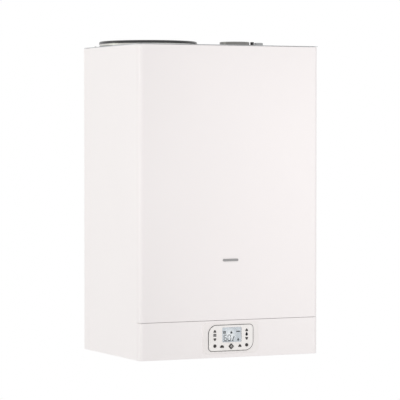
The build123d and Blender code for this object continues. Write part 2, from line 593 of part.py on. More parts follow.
with BuildPart() as flue_collar:
    block(*COLLAR_PLATE)
    fillet(flue_collar.edges().filter_by(Axis.Z), radius=10)
    turned(ENGINE_X, FLUE_Y, 0, [(0, COLLAR_LOW), (COLLAR_R, COLLAR_LOW), (COLLAR_R, COLLAR_TOP - 1),
                                 (COLLAR_R - 1, COLLAR_TOP), (0, COLLAR_TOP)])
    rod(ENGINE_X, FLUE_Y, COLLAR_LOW - 1, FLUE_R - 1.5, 60, mode=Mode.SUBTRACT)
    rod(ENGINE_X, FLUE_Y, COLLAR_TOP - SOCKET_DEPTH, SOCKET_R, 60, mode=Mode.SUBTRACT)
    rod(CAP_X, FLUE_Y, CASE_H + 3, NIPPLE_R, NIPPLE_TOP - CASE_H - 3)
    with BuildSketch(Plane.XY.offset(level(CASE_H + 2))):
        with Locations((BOSS_X, FLUE_Y)):
            RectangleRounded(BOSS_W, BOSS_D, 8)
    extrude(amount=BOSS_TOP - CASE_H - 2)
    fillet(flue_collar.faces().filter_by(lambda f: abs(f.center().Z - level(BOSS_TOP)) < 0.01).edges(), radius=2)
write(flue_collar, "flue_collar")

with BuildPart() as sampling_cap:
    turned(CAP_X, FLUE_Y, 0, [(NIPPLE_R + 0.05, CASE_H + 7), (CAP_R, CASE_H + 7), (CAP_R, CAP_TOP - 1),
                              (CAP_R - 1, CAP_TOP), (0, CAP_TOP), (0, NIPPLE_TOP + 0.1),
                              (NIPPLE_R + 0.05, NIPPLE_TOP + 0.1)])
write(sampling_cap, "sampling_cap")

with BuildPart() as condensate_siphon:
    turned(DRAIN_X, DRAIN_Y, 0, [(0, 420), (24, 420), (24, 520), (14, 530), (9, 530), (9, 566), (7, 566),
                                 (7, 528), (21, 518), (21, 423), (0, 423)])
    tube([(DRAIN_X, DRAIN_Y, 420), (DRAIN_X, DRAIN_Y, THREAD_TOP)], radius=DRAIN_R - 1.5, wall=1.5)
    tube([(DRAIN_X, DRAIN_Y, THREAD_TOP), (DRAIN_X, DRAIN_Y, STUB_LOW)], radius=DRAIN_R, wall=3)
write(condensate_siphon, "condensate_siphon")

# ================================================================ storage tank
INSULATION_R, PRIMARY_R, INNER_R = 147.0, 136.0, 122.0
TANK_LOW, TANK_TOP = 114.0, CASE_H
HOT_X, COLD_X = PORTS["hot"][0], PORTS["cold"][0]
CHARGE_IN = (440.0, -150.0)  # (height, y) of the primary inlet
CHARGE_OUT = (150.0, -220.0)


def tank_x(radius, y):
    """Where a circle around the tank's axis meets a plane of constant Y, on the right."""
    return TANK_X + math.sqrt(radius ** 2 - (y - TANK_Y) ** 2)


def dome_shell(radius, low, top, dome, wall, ribs=0):
    """A closed vessel with domed ends and outward ribs, added to the part being built."""
    for r, inset, count, mode in ((radius, 0, ribs, Mode.ADD), (radius - wall, wall, 0, Mode.SUBTRACT)):
        z0, z1 = level(low + inset), level(top - inset)
        crown = (r ** 2 + dome ** 2) / (2 * dome)  # radius of the dome's arc
        half_turn = math.asin(r / crown) / 2
        mid_r, mid_drop = crown * math.sin(half_turn), crown * (1 - math.cos(half_turn))
        pitch = (z1 - z0 - 2 * dome) / (count + 1)
        side = [(r, z0 + dome)]
        for rib in range(count):
            z = z0 + dome + pitch * (rib + 1)
            side += [(r, z - 6), (r + 4, z - 2), (r + 4, z + 2), (r, z + 6)]
        side += [(r, z1 - dome)]
        with BuildSketch(Plane(origin=(TANK_X, TANK_Y, 0), x_dir=(1, 0, 0), z_dir=(0, -1, 0))) as half:
            with BuildLine():
                Line((0, z1), (0, z0))
                ThreePointArc((0, z0), (mid_r, z0 + mid_drop), (r, z0 + dome))
                Polyline(*side)
                ThreePointArc((r, z1 - dome), (mid_r, z1 - mid_drop), (0, z1))
            make_face()
        revolve(half.sketch, Axis((TANK_X, TANK_Y, 0), (0, 0, 1)), mode=mode)


def water_holes():
    """Clears the hot and cold pipes through whatever is being built, from below."""
    for x in (HOT_X, COLD_X):
        rod(x, PORT_Y, TANK_LOW - 10, PIPE_R, 90, mode=Mode.SUBTRACT)


def charge_holes():
    """Clears the two primary pipes on the tank's right side."""
    for h, y in (CHARGE_IN, CHARGE_OUT):
        rod(TANK_X + 60, y, h, PIPE_R, 120, "X", mode=Mode.SUBTRACT)


with BuildPart() as inner_tank:
    dome_shell(INNER_R, 136, 915, 30, 1.5, ribs=11)
    water_holes()
write(inner_tank, "inner_tank")

with BuildPart() as tank_shell:
    dome_shell(PRIMARY_R, 126, 930, 32, 2)
    water_holes()
    charge_holes()
write(tank_shell, "tank_shell")

with BuildPart() as tank_insulation:
    turned(TANK_X, TANK_Y, 0, [(0, TANK_LOW), (INSULATION_R, TANK_LOW), (INSULATION_R, TANK_TOP),
                               (0, TANK_TOP), (0, 932), (PRIMARY_R + 0.3, 932), (PRIMARY_R + 0.3, 124),
                               (0, 124)])
    water_holes()
    charge_holes()
write(tank_insulation, "tank_insulation")

LID_R, LID_T = 151.5, 8.0
RIM_R, RIM_T, RIM_ROUND = 153.0, 8.5, 5.0
with BuildPart() as tank_cover:
    turned(TANK_X, TANK_Y, CASE_H, [(0, 0), (LID_R, 0), (LID_R, LID_T), (0, LID_T)])
write(tank_cover, "tank_cover")

with BuildPart() as tank_cover_rim:
    rod(TANK_X, TANK_Y, CASE_H + LID_T, RIM_R, RIM_T)
    fillet(tank_cover_rim.edges().sort_by(Axis.Z)[-1], radius=RIM_ROUND)
    fillet(tank_cover_rim.edges().sort_by(Axis.Z)[0], radius=0.6)
    rod(TANK_X, TANK_Y, CASE_H + LID_T + RIM_T - 2.5, 142.0, 10, mode=Mode.SUBTRACT)
write(tank_cover_rim, "tank_cover_rim")

# ================================================================ pump, diverter and pipes
with BuildPart() as pump_housing:
    turned(PUMP_X, PUMP_Y, PUMP_H, [(0, 26), (46, 26), (46, -26), (34, -26), (34, 20), (0, 20)], "Y")
    rod(PUMP_X, PUMP_Y, PUMP_H - 60, 14, 26)
    rod(PUMP_X, PUMP_Y, PUMP_H + 34, 14, 26)
    rod(PUMP_X, PUMP_Y, PUMP_H - 61, 8, 30, mode=Mode.SUBTRACT)
    rod(PUMP_X, PUMP_Y, PUMP_H + 31, 8, 30, mode=Mode.SUBTRACT)
write(pump_housing, "pump_housing")

with BuildPart() as pump_motor:
    turned(PUMP_X, PUMP_Y, PUMP_H, [(34, -26), (46, -26), (46, -32), (40, -36), (40, -100), (36, -106),
                                    (0, -106), (0, -98), (26, -98), (26, -26)], "Y")
write(pump_motor, "pump_motor")

with BuildPart() as pump_rotor:
    turned(PUMP_X, PUMP_Y, PUMP_H, [(0, -90), (22, -90), (22, -30), (4, -30), (4, -8), (30, -8), (30, 8),
                                    (0, 8)], "Y")
    for blade in range(6):
        with Locations(Location((PUMP_X, PUMP_Y + 11, level(PUMP_H)), (0, 60 * blade, 0))):
            with Locations((0, 0, 17)):
                Box(2, 8, 22)
write(pump_rotor, "pump_rotor")

BODY_HALF = 21.0
with BuildPart() as diverter_valve:
    x, y, h = DIVERTER_X, DIVERTER_Y, DIVERTER_H
    block((x - BODY_HALF, x + BODY_HALF), (y - BODY_HALF, y + BODY_HALF), (h - 30, h + 30))
    rod(x, y - BODY_HALF - 42, h, 17, 42, "Y")
    rod(x, y - BODY_HALF, h, 10.5, BODY_HALF + 14, "Y", mode=Mode.SUBTRACT)
    rod(x, y - BODY_HALF - 34, h, 3.1, 40, "Y", mode=Mode.SUBTRACT)
    rod(x, y, h - 31, 7, 62, mode=Mode.SUBTRACT)
    rod(x - BODY_HALF - 1, y, h, 7, BODY_HALF, "X", mode=Mode.SUBTRACT)
write(diverter_valve, "diverter_valve")

with BuildPart() as diverter_spindle:
    x, y, h = DIVERTER_X, DIVERTER_Y, DIVERTER_H
    rod(x, y - BODY_HALF - 26, h, 3.03, 34, "Y")
    rod(x, y - 14, h, 9.5, 12, "Y")
write(diverter_spindle, "diverter_spindle")

with BuildPart() as expansion_vessel:
    turned(155, 0, 600, [(0, -101), (88, -101), (114, -88), (114, -70), (118, -68), (118, -64), (114, -62),
                         (114, -46), (88, -33), (0, -33), (0, -35), (87, -35), (112, -47), (112, -87),
                         (87, -99), (0, -99)], "Y")
write(expansion_vessel, "expansion_vessel")

with BuildPart() as safety_valve:
    turned(0, PUMP_Y, PUMP_H + 75, [(0, 152), (11, 152), (11, 176), (6, 176), (6, PUMP_X - 9.1),
                                    (0, PUMP_X - 9.1)], "X")
    turned(0, PUMP_Y, PUMP_H + 75, [(0, 130), (14, 130), (16, 132), (16, 150), (8, 152), (0, 152)], "X")
    rod(164, PUMP_Y, PUMP_H + 45, 7, 22)
write(safety_valve, "safety_valve")

with BuildPart() as flow_pipe:
    tube([(ENGINE_X + 103, DIVERTER_Y, ENGINE_H), (DIVERTER_X, DIVERTER_Y, ENGINE_H),
          (DIVERTER_X, DIVERTER_Y, DIVERTER_H + 30)], bend=14)
    flow_x = PORTS["flow"][0]
    tube([(DIVERTER_X, DIVERTER_Y, DIVERTER_H - 30), (DIVERTER_X, DIVERTER_Y, 70), (flow_x, PORT_Y, 70),
          (flow_x, PORT_Y, STUB_TOP)])
    stub(flow_x, PORT_Y, STUB_34, 8)
write(flow_pipe, "flow_pipe")

with BuildPart() as return_pipe:
    return_x = PORTS["return"][0]
    stub(return_x, PORT_Y, STUB_34, 8)
    tube([(return_x, PORT_Y, STUB_TOP), (return_x, PORT_Y, 62), (PUMP_X, PUMP_Y, 62),
          (PUMP_X, PUMP_Y, PUMP_H - 60)])
    tube([(PUMP_X, PUMP_Y, PUMP_H + 60), (PUMP_X, PUMP_Y, ENGINE_H - 84)])
write(return_pipe, "return_pipe")

with BuildPart() as charge_pipes:
    h, y = CHARGE_IN
    tube([(DIVERTER_X - BODY_HALF, y, DIVERTER_H), (17, y, DIVERTER_H), (17, y, h),
          (tank_x(PRIMARY_R - 2, y), y, h)], bend=12)
    h, y = CHARGE_OUT
    tube([(tank_x(PRIMARY_R - 2, y), y, h), (60, y, h), (130, -170, h), (130, -170, 66)], bend=16)
write(charge_pipes, "charge_pipes")

with BuildPart() as hot_pipe:
    stub(HOT_X, PORT_Y, STUB_12, 8)
    tube([(HOT_X, PORT_Y, STUB_TOP), (HOT_X, PORT_Y, 880)])
write(hot_pipe, "hot_pipe")

with BuildPart() as cold_pipe:
    stub(COLD_X, PORT_Y, STUB_12, 8)
    tube([(COLD_X, PORT_Y, STUB_TOP), (COLD_X, PORT_Y, 170)])
write(cold_pipe, "cold_pipe")
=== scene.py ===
"""Wall-hung combi boiler: finishes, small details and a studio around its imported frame.

Metres, +X to the viewer's right, +Y into the wall, +Z up. The frame's own nodes keep their shapes,
and everything modelled here is placed from their boxes.
"""
import json
import math

import bmesh
import bpy
from bpy.props import FloatProperty, FloatVectorProperty, PointerProperty
from bpy.types import Operator, Panel, PropertyGroup
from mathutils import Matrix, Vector


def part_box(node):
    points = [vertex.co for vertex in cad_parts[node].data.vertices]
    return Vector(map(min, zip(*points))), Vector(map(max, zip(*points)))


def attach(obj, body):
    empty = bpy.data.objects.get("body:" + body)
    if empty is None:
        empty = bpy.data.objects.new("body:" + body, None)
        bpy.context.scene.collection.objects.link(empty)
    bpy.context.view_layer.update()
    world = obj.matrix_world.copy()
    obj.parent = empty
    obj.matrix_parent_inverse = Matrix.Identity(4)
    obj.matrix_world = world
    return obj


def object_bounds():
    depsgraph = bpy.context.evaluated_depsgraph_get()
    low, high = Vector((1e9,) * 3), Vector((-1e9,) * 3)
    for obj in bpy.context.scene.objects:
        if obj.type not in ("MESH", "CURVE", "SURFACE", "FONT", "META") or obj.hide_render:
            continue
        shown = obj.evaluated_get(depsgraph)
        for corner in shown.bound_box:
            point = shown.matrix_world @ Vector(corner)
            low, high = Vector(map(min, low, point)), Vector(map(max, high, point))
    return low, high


bl_info = {
    "name": "Combi Boiler Studio",
    "version": (1, 0, 0),
    "blender": (4, 5, 0),
    "location": "View3D > Sidebar > Boiler",
    "description": "Finishes, details and studio of a wall-hung combi boiler",
    "category": "Object",
}

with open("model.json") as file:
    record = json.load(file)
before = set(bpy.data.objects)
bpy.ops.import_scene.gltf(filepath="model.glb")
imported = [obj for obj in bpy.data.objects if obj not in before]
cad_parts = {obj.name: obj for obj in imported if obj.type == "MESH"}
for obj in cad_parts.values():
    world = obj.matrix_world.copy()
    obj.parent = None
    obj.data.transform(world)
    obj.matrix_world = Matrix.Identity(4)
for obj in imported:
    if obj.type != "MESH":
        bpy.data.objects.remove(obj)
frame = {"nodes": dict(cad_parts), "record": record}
cad_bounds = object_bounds()

MM = 0.001
SLOT_OF = {part["node"]: part["material_slot"] for part in frame["record"]["subparts"]}
MOUNTS = {mount["name"]: mount for mount in frame["record"]["mounts"]}
UP, RIGHT = Vector((0, 0, 1)), Vector((1, 0, 0))
ALIGNED = 0.9  # a normal or an edge whose part along an axis is larger than this lies along it
SUNK = 0.0004  # how far an added piece reaches into what carries it


# ---------------------------------------------------------------- settings
def colour(name, default, description):
    """A colour that a user can change."""
    return FloatVectorProperty(name=name, description=description, default=default, subtype="COLOR",
                               size=3, min=0.0, max=1.0)


def length(name, default, description):
    """A size in metres that a user can change."""
    return FloatProperty(name=name, description=description, default=default, min=0.0,
                         unit="LENGTH", precision=5)


class CasingSettings(PropertyGroup):
    """Colours and small sizes of the painted casing."""

    paint: colour("Paint", (0.917, 0.876, 0.870), "Warm white powder coat of the casing")
    paint_grain: length("Paint grain", 0.00004, "Height of the powder coat's orange peel")
    badge_width: length("Badge width", 0.052, "Width of the blank badge on the cover")
    badge_height: length("Badge height", 0.0078, "Height of the blank badge on the cover")
    badge_level: length("Badge level", 0.2965, "Height of the badge above the casing floor")
    bead_depth: length("Bead depth", 0.003, "How far the pressed beads stand out of the back")


class KeypadSettings(PropertyGroup):
    """Colours and sizes of the keypad and its display."""

    shell: colour("Shell", (0.920, 0.890, 0.868), "Satin plastic of the keypad shell")
    cradle: colour("Cradle", (0.905, 0.865, 0.850), "Satin plastic of the cradle")
    keys: colour("Keys", (0.048, 0.044, 0.042), "Dark rubber of the keys")
    panel: colour("Display", (0.71, 0.76, 0.80), "Resting tone of the liquid crystal")
    mask: colour("Mask", (0.72, 0.75, 0.80), "Pale frame printed around the display")
    ink: colour("Ink", (0.014, 0.015, 0.018), "Dark segments and printed symbols")
    digit_height: length("Digit height", 0.0170, "Height of the two large figures")
    print_depth: length("Print depth", 0.00012, "Thickness of the printed symbols")


class PlumbingSettings(PropertyGroup):
    """Sizes of the threads and seals on the connections."""

    thread_pitch: length("Thread pitch", 0.0018, "Rise of one thread turn")
    thread_height: length("Thread height", 0.0007, "How far the crests stand out")
    grommet_lip: length("Grommet lip", 0.0030, "Width of the seal around each pipe")


class StageSettings(PropertyGroup):
    """Camera, lamps and floor."""

    lens: FloatProperty(name="Lens", description="Focal length on a 36 mm sensor", default=205.35,
                        min=10.0, unit="CAMERA")
    turn: FloatProperty(name="Turn", description="How far the camera looks to the right",
                        default=0.43884, subtype="ANGLE", unit="ROTATION")
    dip: FloatProperty(name="Dip", description="How far the camera looks down", default=0.029300,
                       subtype="ANGLE", unit="ROTATION")
    floor_drop: length("Floor drop", 1.0, "How far the floor lies below the casing")
    sky: FloatProperty(name="Sky", description="Level of the even light all around", default=0.84,
                       min=0.0)
    lean: FloatProperty(name="Lean", description="How much stronger that light is from the left",
                        default=0.14, min=0.0, max=1.0)
    key: FloatProperty(name="Key", description="Power of the lamp at the left side", default=7.5,
                       min=0.0, unit="POWER")
    fill: FloatProperty(name="Fill", description="Power of the lamp beside the camera", default=1.9,
                        min=0.0, unit="POWER")


class BoilerSettings(PropertyGroup):
    """All settings of the boiler."""

    casing: PointerProperty(type=CasingSettings)
    keypad: PointerProperty(type=KeypadSettings)
    plumbing: PointerProperty(type=PlumbingSettings)
    stage: PointerProperty(type=StageSettings)


def settings():
    """The scene's boiler settings."""
    return bpy.context.scene.boiler


# ---------------------------------------------------------------- modelling
def deselect():
    """Object mode with nothing selected."""
    if bpy.context.mode != "OBJECT":
        bpy.ops.object.mode_set(mode="OBJECT")
    bpy.ops.object.select_all(action="DESELECT")


def choose(piece):
    """Selects one piece and makes it active."""
    deselect()
    piece.select_set(True)
    bpy.context.view_layer.objects.active = piece


def settle(name):
    """Names the new active piece and moves its place, turn and size into its mesh."""
    piece = bpy.context.object
    piece.name = name
    piece.data.name = name
    bpy.ops.object.transform_apply(location=True, rotation=True, scale=True)
    return piece


def block(name, low, high):
    """A box between two corners."""
    deselect()
    low, high = Vector(low), Vector(high)
    bpy.ops.mesh.primitive_cube_add(size=1, location=(low + high) / 2)
    bpy.context.object.scale = high - low
    return settle(name)


def drum(name, centre, radius, depth, axis="Z", sides=48):
    """A cylinder about an axis through its centre."""
    deselect()
    turn = {"X": (0, math.pi / 2, 0), "Y": (math.pi / 2, 0, 0), "Z": (0, 0, 0)}[axis]
    bpy.ops.mesh.primitive_cylinder_add(vertices=sides, radius=radius, depth=depth, location=centre,
                                        rotation=turn)
    return settle(name)


def pick(piece, kind, test):
    """Edit mode with the faces or edges selected whose middle and direction pass the test."""
    choose(piece)
    bpy.ops.object.mode_set(mode="EDIT")
    bpy.ops.mesh.select_mode(type=kind)
    bpy.ops.mesh.select_all(action="DESELECT")
    mesh = bmesh.from_edit_mesh(piece.data)
    if kind == "FACE":
        for face in mesh.faces:
            face.select_set(test(face.calc_center_median(), face.normal))
    else:
        for edge in mesh.edges:
            ends = [vertex.co for vertex in edge.verts]
            edge.select_set(test((ends[0] + ends[1]) / 2, (ends[1] - ends[0]).normalized()))
    bmesh.update_edit_mesh(piece.data)


def pick_all(piece):
    """Edit mode with every face selected."""
    pick(piece, "FACE", lambda place, normal: True)


def turn_about(piece, angle, axis, centre):
    """Turns a whole piece about an axis through a point."""
    pick_all(piece)
    bpy.ops.transform.rotate(value=angle, orient_axis=axis, center_override=tuple(centre))
    bpy.ops.object.mode_set(mode="OBJECT")


def sink(piece, axis, side, *steps):
    """Insets the faces that look one way along an axis, once for each width and depth."""
    pick(piece, "FACE", lambda place, normal: getattr(normal, axis) * side > ALIGNED)
    for thickness, depth in steps:
        bpy.ops.mesh.inset(thickness=thickness, depth=depth)
    bpy.ops.object.mode_set(mode="OBJECT")


def round_corners(piece, radius, segments, test=lambda place: True):
    """Rounds the corners of an upright plate whose places pass the test."""
    pick(piece, "EDGE", lambda place, way: abs(way.y) > ALIGNED and test(place))
    bpy.ops.mesh.bevel(offset=radius, segments=segments)
    bpy.ops.object.mode_set(mode="OBJECT")


def apply_modifier(piece, kind, **values):
    """Adds a modifier with these values and applies it."""
    choose(piece)
    modifier = piece.modifiers.new(kind.title(), kind)
    for key, value in values.items():
        setattr(modifier, key, value)
    bpy.ops.object.modifier_apply(modifier=modifier.name)


def round_edges(piece, width, segments=3, angle=30):
    """Rounds every edge sharper than the angle."""
    apply_modifier(piece, "BEVEL", width=width, segments=segments, limit_method="ANGLE",
                   angle_limit=math.radians(angle))


def hollow(piece, axis, wall):
    """Opens a piece right through along an axis and leaves a wall of this width."""
    pick(piece, "FACE", lambda place, normal: abs(getattr(normal, axis)) > ALIGNED)
    bpy.ops.mesh.inset(thickness=wall, depth=0.0)
    bpy.ops.mesh.bridge_edge_loops()
    bpy.ops.object.mode_set(mode="OBJECT")


def hoop(name, centre, radius, height, wall, sides=128):
    """A drum opened from top to bottom."""
    piece = drum(name, centre, radius, height, sides=sides)
    hollow(piece, "z", wall)
    return piece


def lip_ring(name, centre, radius, thickness, sides):
    """A round lip, as a torus."""
    deselect()
    bpy.ops.mesh.primitive_torus_add(location=centre, major_radius=radius, minor_radius=thickness,
                                     major_segments=sides, minor_segments=12)
    return settle(name)


def repeat(piece, places):
    """A piece made at the first of these places, and a copy with its own mesh at each other."""
    pieces = [piece]
    for place in places[1:]:
        choose(piece)
        bpy.ops.object.duplicate(linked=False)
        bpy.ops.transform.translate(value=Vector(place) - Vector(places[0]))
        pieces.append(settle(piece.name))
    return pieces


def join(name, pieces):
    """One piece made of several."""
    choose(pieces[0])
    for piece in pieces[1:]:
        piece.select_set(True)
    if len(pieces) > 1:
        bpy.ops.object.join()
    return settle(name)


def complete(piece, body, slot, angle=35):
    """Smooths a finished piece, gives it its finish and lets it ride on its body."""
    choose(piece)
    bpy.ops.object.shade_smooth_by_angle(angle=math.radians(angle))
    piece.data.materials.clear()
    piece.data.materials.append(finish(slot))
    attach(piece, body)
    return piece


def dress(*nodes):
    """Gives the frame's own nodes the finish of their slots."""
    for node in nodes:
        piece = frame["nodes"][node]
        material = finish(SLOT_OF[node])
        if not piece.material_slots:
            piece.data.materials.append(material)
        for slot in piece.material_slots:
            slot.material = material


def corners(node):
    """The lowest and the highest corner of a node's box."""
    low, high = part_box(node)
    return Vector(low), Vector(high)


def middle(node):
    """The centre of a node's box."""
    low, high = corners(node)
    return (low + high) / 2


# ---------------------------------------------------------------- shader parts
def feed(tree, node, inputs):
    """Fills a node's inputs. One given as a socket is linked, and any other is set."""
    for key, value in inputs.items():
        if isinstance(value, bpy.types.NodeSocket):
            tree.links.new(value, node.inputs[key])
        else:
            node.inputs[key].default_value = value


def add(tree, kind, inputs=None, **values):
    """Adds a shader node with these inputs and properties."""
    node = tree.nodes.new("ShaderNode" + kind)
    for key, value in values.items():
        setattr(node, key, value)
    feed(tree, node, inputs or {})
    return node


def maths(tree, operation, first, second, **values):
    """The result of one sum on two values."""
    return add(tree, "Math", {0: first, 1: second}, operation=operation, **values).outputs["Value"]


def mix(tree, share, first, second):
    """A colour that goes from the first to the second as the share goes from 0 to 1."""
    return add(tree, "Mix", {"Factor": share, "A": first, "B": second},
               data_type="RGBA").outputs["Result"]


def new_group(name, inputs, **outputs):
    """A shader group with a vector and these inputs and outputs: its way in and its way out."""
    tree = bpy.data.node_groups.new(name, "ShaderNodeTree")
    tree.interface.new_socket(name="Vector", in_out="INPUT", socket_type="NodeSocketVector")
    for label, default in inputs.items():
        kind = "Float" if isinstance(default, float) else "Color"
        socket = tree.interface.new_socket(name=label, in_out="INPUT",
                                           socket_type="NodeSocket" + kind)
        socket.default_value = default
    for label, kind in outputs.items():
        tree.interface.new_socket(name=label, in_out="OUTPUT", socket_type="NodeSocket" + kind)
    return tree, tree.nodes.new("NodeGroupInput").outputs, tree.nodes.new("NodeGroupOutput")


def tone_drift_group(name):
    """Slow, faint changes of a colour over a surface, as any real paint or casting has."""
    tree, given, way_out = new_group(
        name, {"Colour": (0.8, 0.8, 0.8, 1.0), "Scale": 4.0, "Amount": 0.05},
        Colour="Color", Mask="Float")
    cloud = add(tree, "TexNoise", {"Vector": given["Vector"], "Scale": given["Scale"],
                                   "Detail": 4.0, "Roughness": 0.55}).outputs["Fac"]
    dark = add(tree, "MapRange", {"Value": cloud, "From Min": 0.3, "From Max": 0.7,
                                  "To Min": 0.0, "To Max": given["Amount"]})
    shade = mix(tree, dark.outputs["Result"], given["Colour"], (0.0, 0.0, 0.0, 1.0))
    feed(tree, way_out, {"Colour": shade, "Mask": cloud})
    return tree


def peel_group(name):
    """The soft dimples of powder coat and of sprayed or moulded plastic."""
    tree, given, way_out = new_group(name, {"Scale": 900.0}, Height="Float")
    dimple = add(tree, "TexNoise", {"Vector": given["Vector"], "Scale": given["Scale"],
                                    "Detail": 2.0, "Roughness": 0.4})
    speck = add(tree, "TexVoronoi", {"Vector": given["Vector"], "Scale": given["Scale"]},
                feature="SMOOTH_F1")
    feed(tree, way_out, {"Height": maths(tree, "ADD", dimple.outputs["Fac"],
                                         speck.outputs["Distance"])})
    return tree


def brushed_group(name):
    """Fine parallel lines along X, for rolled and brushed metal."""
    tree, given, way_out = new_group(name, {"Scale": 60.0}, Mask="Float")
    squeeze = add(tree, "Mapping", {"Vector": given["Vector"], "Scale": (0.6, 30.0, 30.0)})
    lines = add(tree, "TexNoise", {"Vector": squeeze.outputs["Vector"], "Scale": given["Scale"],
                                   "Detail": 5.0, "Roughness": 0.6})
    feed(tree, way_out, {"Mask": lines.outputs["Fac"]})
    return tree


def spangle_group(name):
    """The flat crystals of hot-dip galvanised sheet."""
    tree, given, way_out = new_group(name, {"Scale": 70.0}, Mask="Float")
    crystal = add(tree, "TexVoronoi", {"Vector": given["Vector"], "Scale": given["Scale"],
                                       "Randomness": 1.0})
    tone = add(tree, "SeparateColor", {"Color": crystal.outputs["Color"]})
    streak = add(tree, "TexNoise", {"Vector": given["Vector"], "Scale": 240.0, "Detail": 3.0})
    feed(tree, way_out, {"Mask": maths(tree, "MULTIPLY", tone.outputs["Red"],
                                       streak.outputs["Fac"])})
    return tree


def dust_group(name):
    """A thin film of dust where a surface faces up."""
    tree, given, way_out = new_group(name, {"Amount": 0.1}, Mask="Float")
    facing = add(tree, "SeparateXYZ", {"Vector": add(tree, "NewGeometry").outputs["Normal"]})
    cloud = add(tree, "TexNoise", {"Vector": given["Vector"], "Scale": 14.0, "Detail": 6.0})
    level = maths(tree, "MULTIPLY", facing.outputs["Z"], cloud.outputs["Fac"], use_clamp=True)
    feed(tree, way_out, {"Mask": maths(tree, "MULTIPLY", level, given["Amount"],
                                       use_clamp=True)})
    return tree


GROUP_MAKERS = {"Tone Drift": tone_drift_group, "Orange Peel": peel_group,
                "Brushed Lines": brushed_group, "Zinc Spangle": spangle_group,
                "Settled Dust": dust_group}


def group(tree, name, inputs):
    """Places one of the shared shader groups in a material."""
    node = tree.nodes.new("ShaderNodeGroup")
    node.node_tree = bpy.data.node_groups.get(name) or GROUP_MAKERS[name](name)
    feed(tree, node, inputs)
    return node


def new_material(name, roughness, metallic=0.0):
    """A material with its Principled shader and object coordinates, in place of any plain one."""
    material = bpy.data.materials.get(name) or bpy.data.materials.new(name)
    material.use_nodes = True
    material["finished"] = True
    tree = material.node_tree
    tree.nodes.clear()
    shader = add(tree, "BsdfPrincipled", {"Roughness": roughness, "Metallic": metallic})
    add(tree, "OutputMaterial", {"Surface": shader.outputs["BSDF"]})
    place = add(tree, "TexCoord").outputs["Object"]
    return material, tree, shader, place


def with_alpha(rgb, level=1.0):
    """An opaque shader colour, at this level of its own."""
    return (*(part * level for part in rgb[:3]), 1.0)


def bump(tree, shader, height, distance):
    """Feeds a height into the shader's normal, as a relief this many metres deep."""
    relief = add(tree, "Bump", {"Height": height, "Distance": distance, "Strength": 1.0})
    feed(tree, shader, {"Normal": relief.outputs["Normal"]})


def spread(tree, shader, mask, low, high):
    """Lets the roughness follow a mask between two values."""
    rough = add(tree, "MapRange", {"Value": mask, "To Min": low, "To Max": high})
    feed(tree, shader, {"Roughness": rough.outputs["Result"]})


def drifting(tree, shader, place, tone, scale, amount):
    """Gives the shader a slowly drifting tone and returns the drift's mask."""
    drift = group(tree, "Tone Drift", {"Vector": place, "Colour": with_alpha(tone), "Scale": scale,
                                       "Amount": amount})
    feed(tree, shader, {"Base Color": drift.outputs["Colour"]})
    return drift.outputs["Mask"]


# ---------------------------------------------------------------- finishes
def coated(name, tone, roughness=0.38, grain=0.00004):
    """Powder coat on steel: a faint orange peel, slow tone changes and dust on top."""
    material, tree, shader, place = new_material(name, roughness)
    drift = group(tree, "Tone Drift", {"Vector": place, "Colour": with_alpha(tone), "Scale": 3.0,
                                       "Amount": 0.012})
    film = group(tree, "Settled Dust", {"Vector": place, "Amount": 0.10})
    dusty = mix(tree, film.outputs["Mask"], drift.outputs["Colour"], (0.55, 0.52, 0.48, 1.0))
    feed(tree, shader, {"Base Color": dusty})
    spread(tree, shader, drift.outputs["Mask"], roughness - 0.04, roughness + 0.05)
    peel = group(tree, "Orange Peel", {"Vector": place, "Scale": 700.0})
    bump(tree, shader, peel.outputs["Height"], grain)
    return material


def moulded(name, tone, roughness=0.45, relief=0.00002, gloss=0.5):
    """Injection-moulded plastic or rubber with the fine texture of its mould."""
    material, tree, shader, place = new_material(name, roughness)
    shader.inputs["Specular IOR Level"].default_value = gloss
    mask = drifting(tree, shader, place, tone, 18.0, 0.04)
    spread(tree, shader, mask, roughness - 0.05, roughness + 0.06)
    peel = group(tree, "Orange Peel", {"Vector": place, "Scale": 1500.0})
    bump(tree, shader, peel.outputs["Height"], relief)
    return material


def rolled(name, tone, roughness=0.34, lines=60.0):
    """Rolled, drawn or turned metal with fine lines."""
    material, tree, shader, place = new_material(name, roughness, metallic=1.0)
    drifting(tree, shader, place, tone, 9.0, 0.16)
    brush = group(tree, "Brushed Lines", {"Vector": place, "Scale": lines})
    spread(tree, shader, brush.outputs["Mask"], roughness - 0.08, roughness + 0.12)
    bump(tree, shader, brush.outputs["Mask"], 0.00001)
    return material


def galvanised(name, tone):
    """Zinc-coated sheet with its spangle."""
    material, tree, shader, place = new_material(name, 0.42, metallic=1.0)
    spangle = group(tree, "Zinc Spangle", {"Vector": place, "Scale": 85.0})
    mixed = mix(tree, spangle.outputs["Mask"], with_alpha(tone), with_alpha(tone, 1.22))
    feed(tree, shader, {"Base Color": mixed})
    spread(tree, shader, spangle.outputs["Mask"], 0.34, 0.52)
    return material


def cast(name, tone, metallic=1.0, roughness=0.55, scale=420.0):
    """Sand or die casting: a pebbled skin with slow tone changes."""
    material, tree, shader, place = new_material(name, roughness, metallic=metallic)
    drifting(tree, shader, place, tone, 26.0, 0.22)
    skin = add(tree, "TexNoise", {"Vector": place, "Scale": scale, "Detail": 6.0,
                                  "Roughness": 0.7})
    spread(tree, shader, skin.outputs["Fac"], roughness - 0.08, roughness + 0.14)
    bump(tree, shader, skin.outputs["Fac"], 0.00025)
    return material


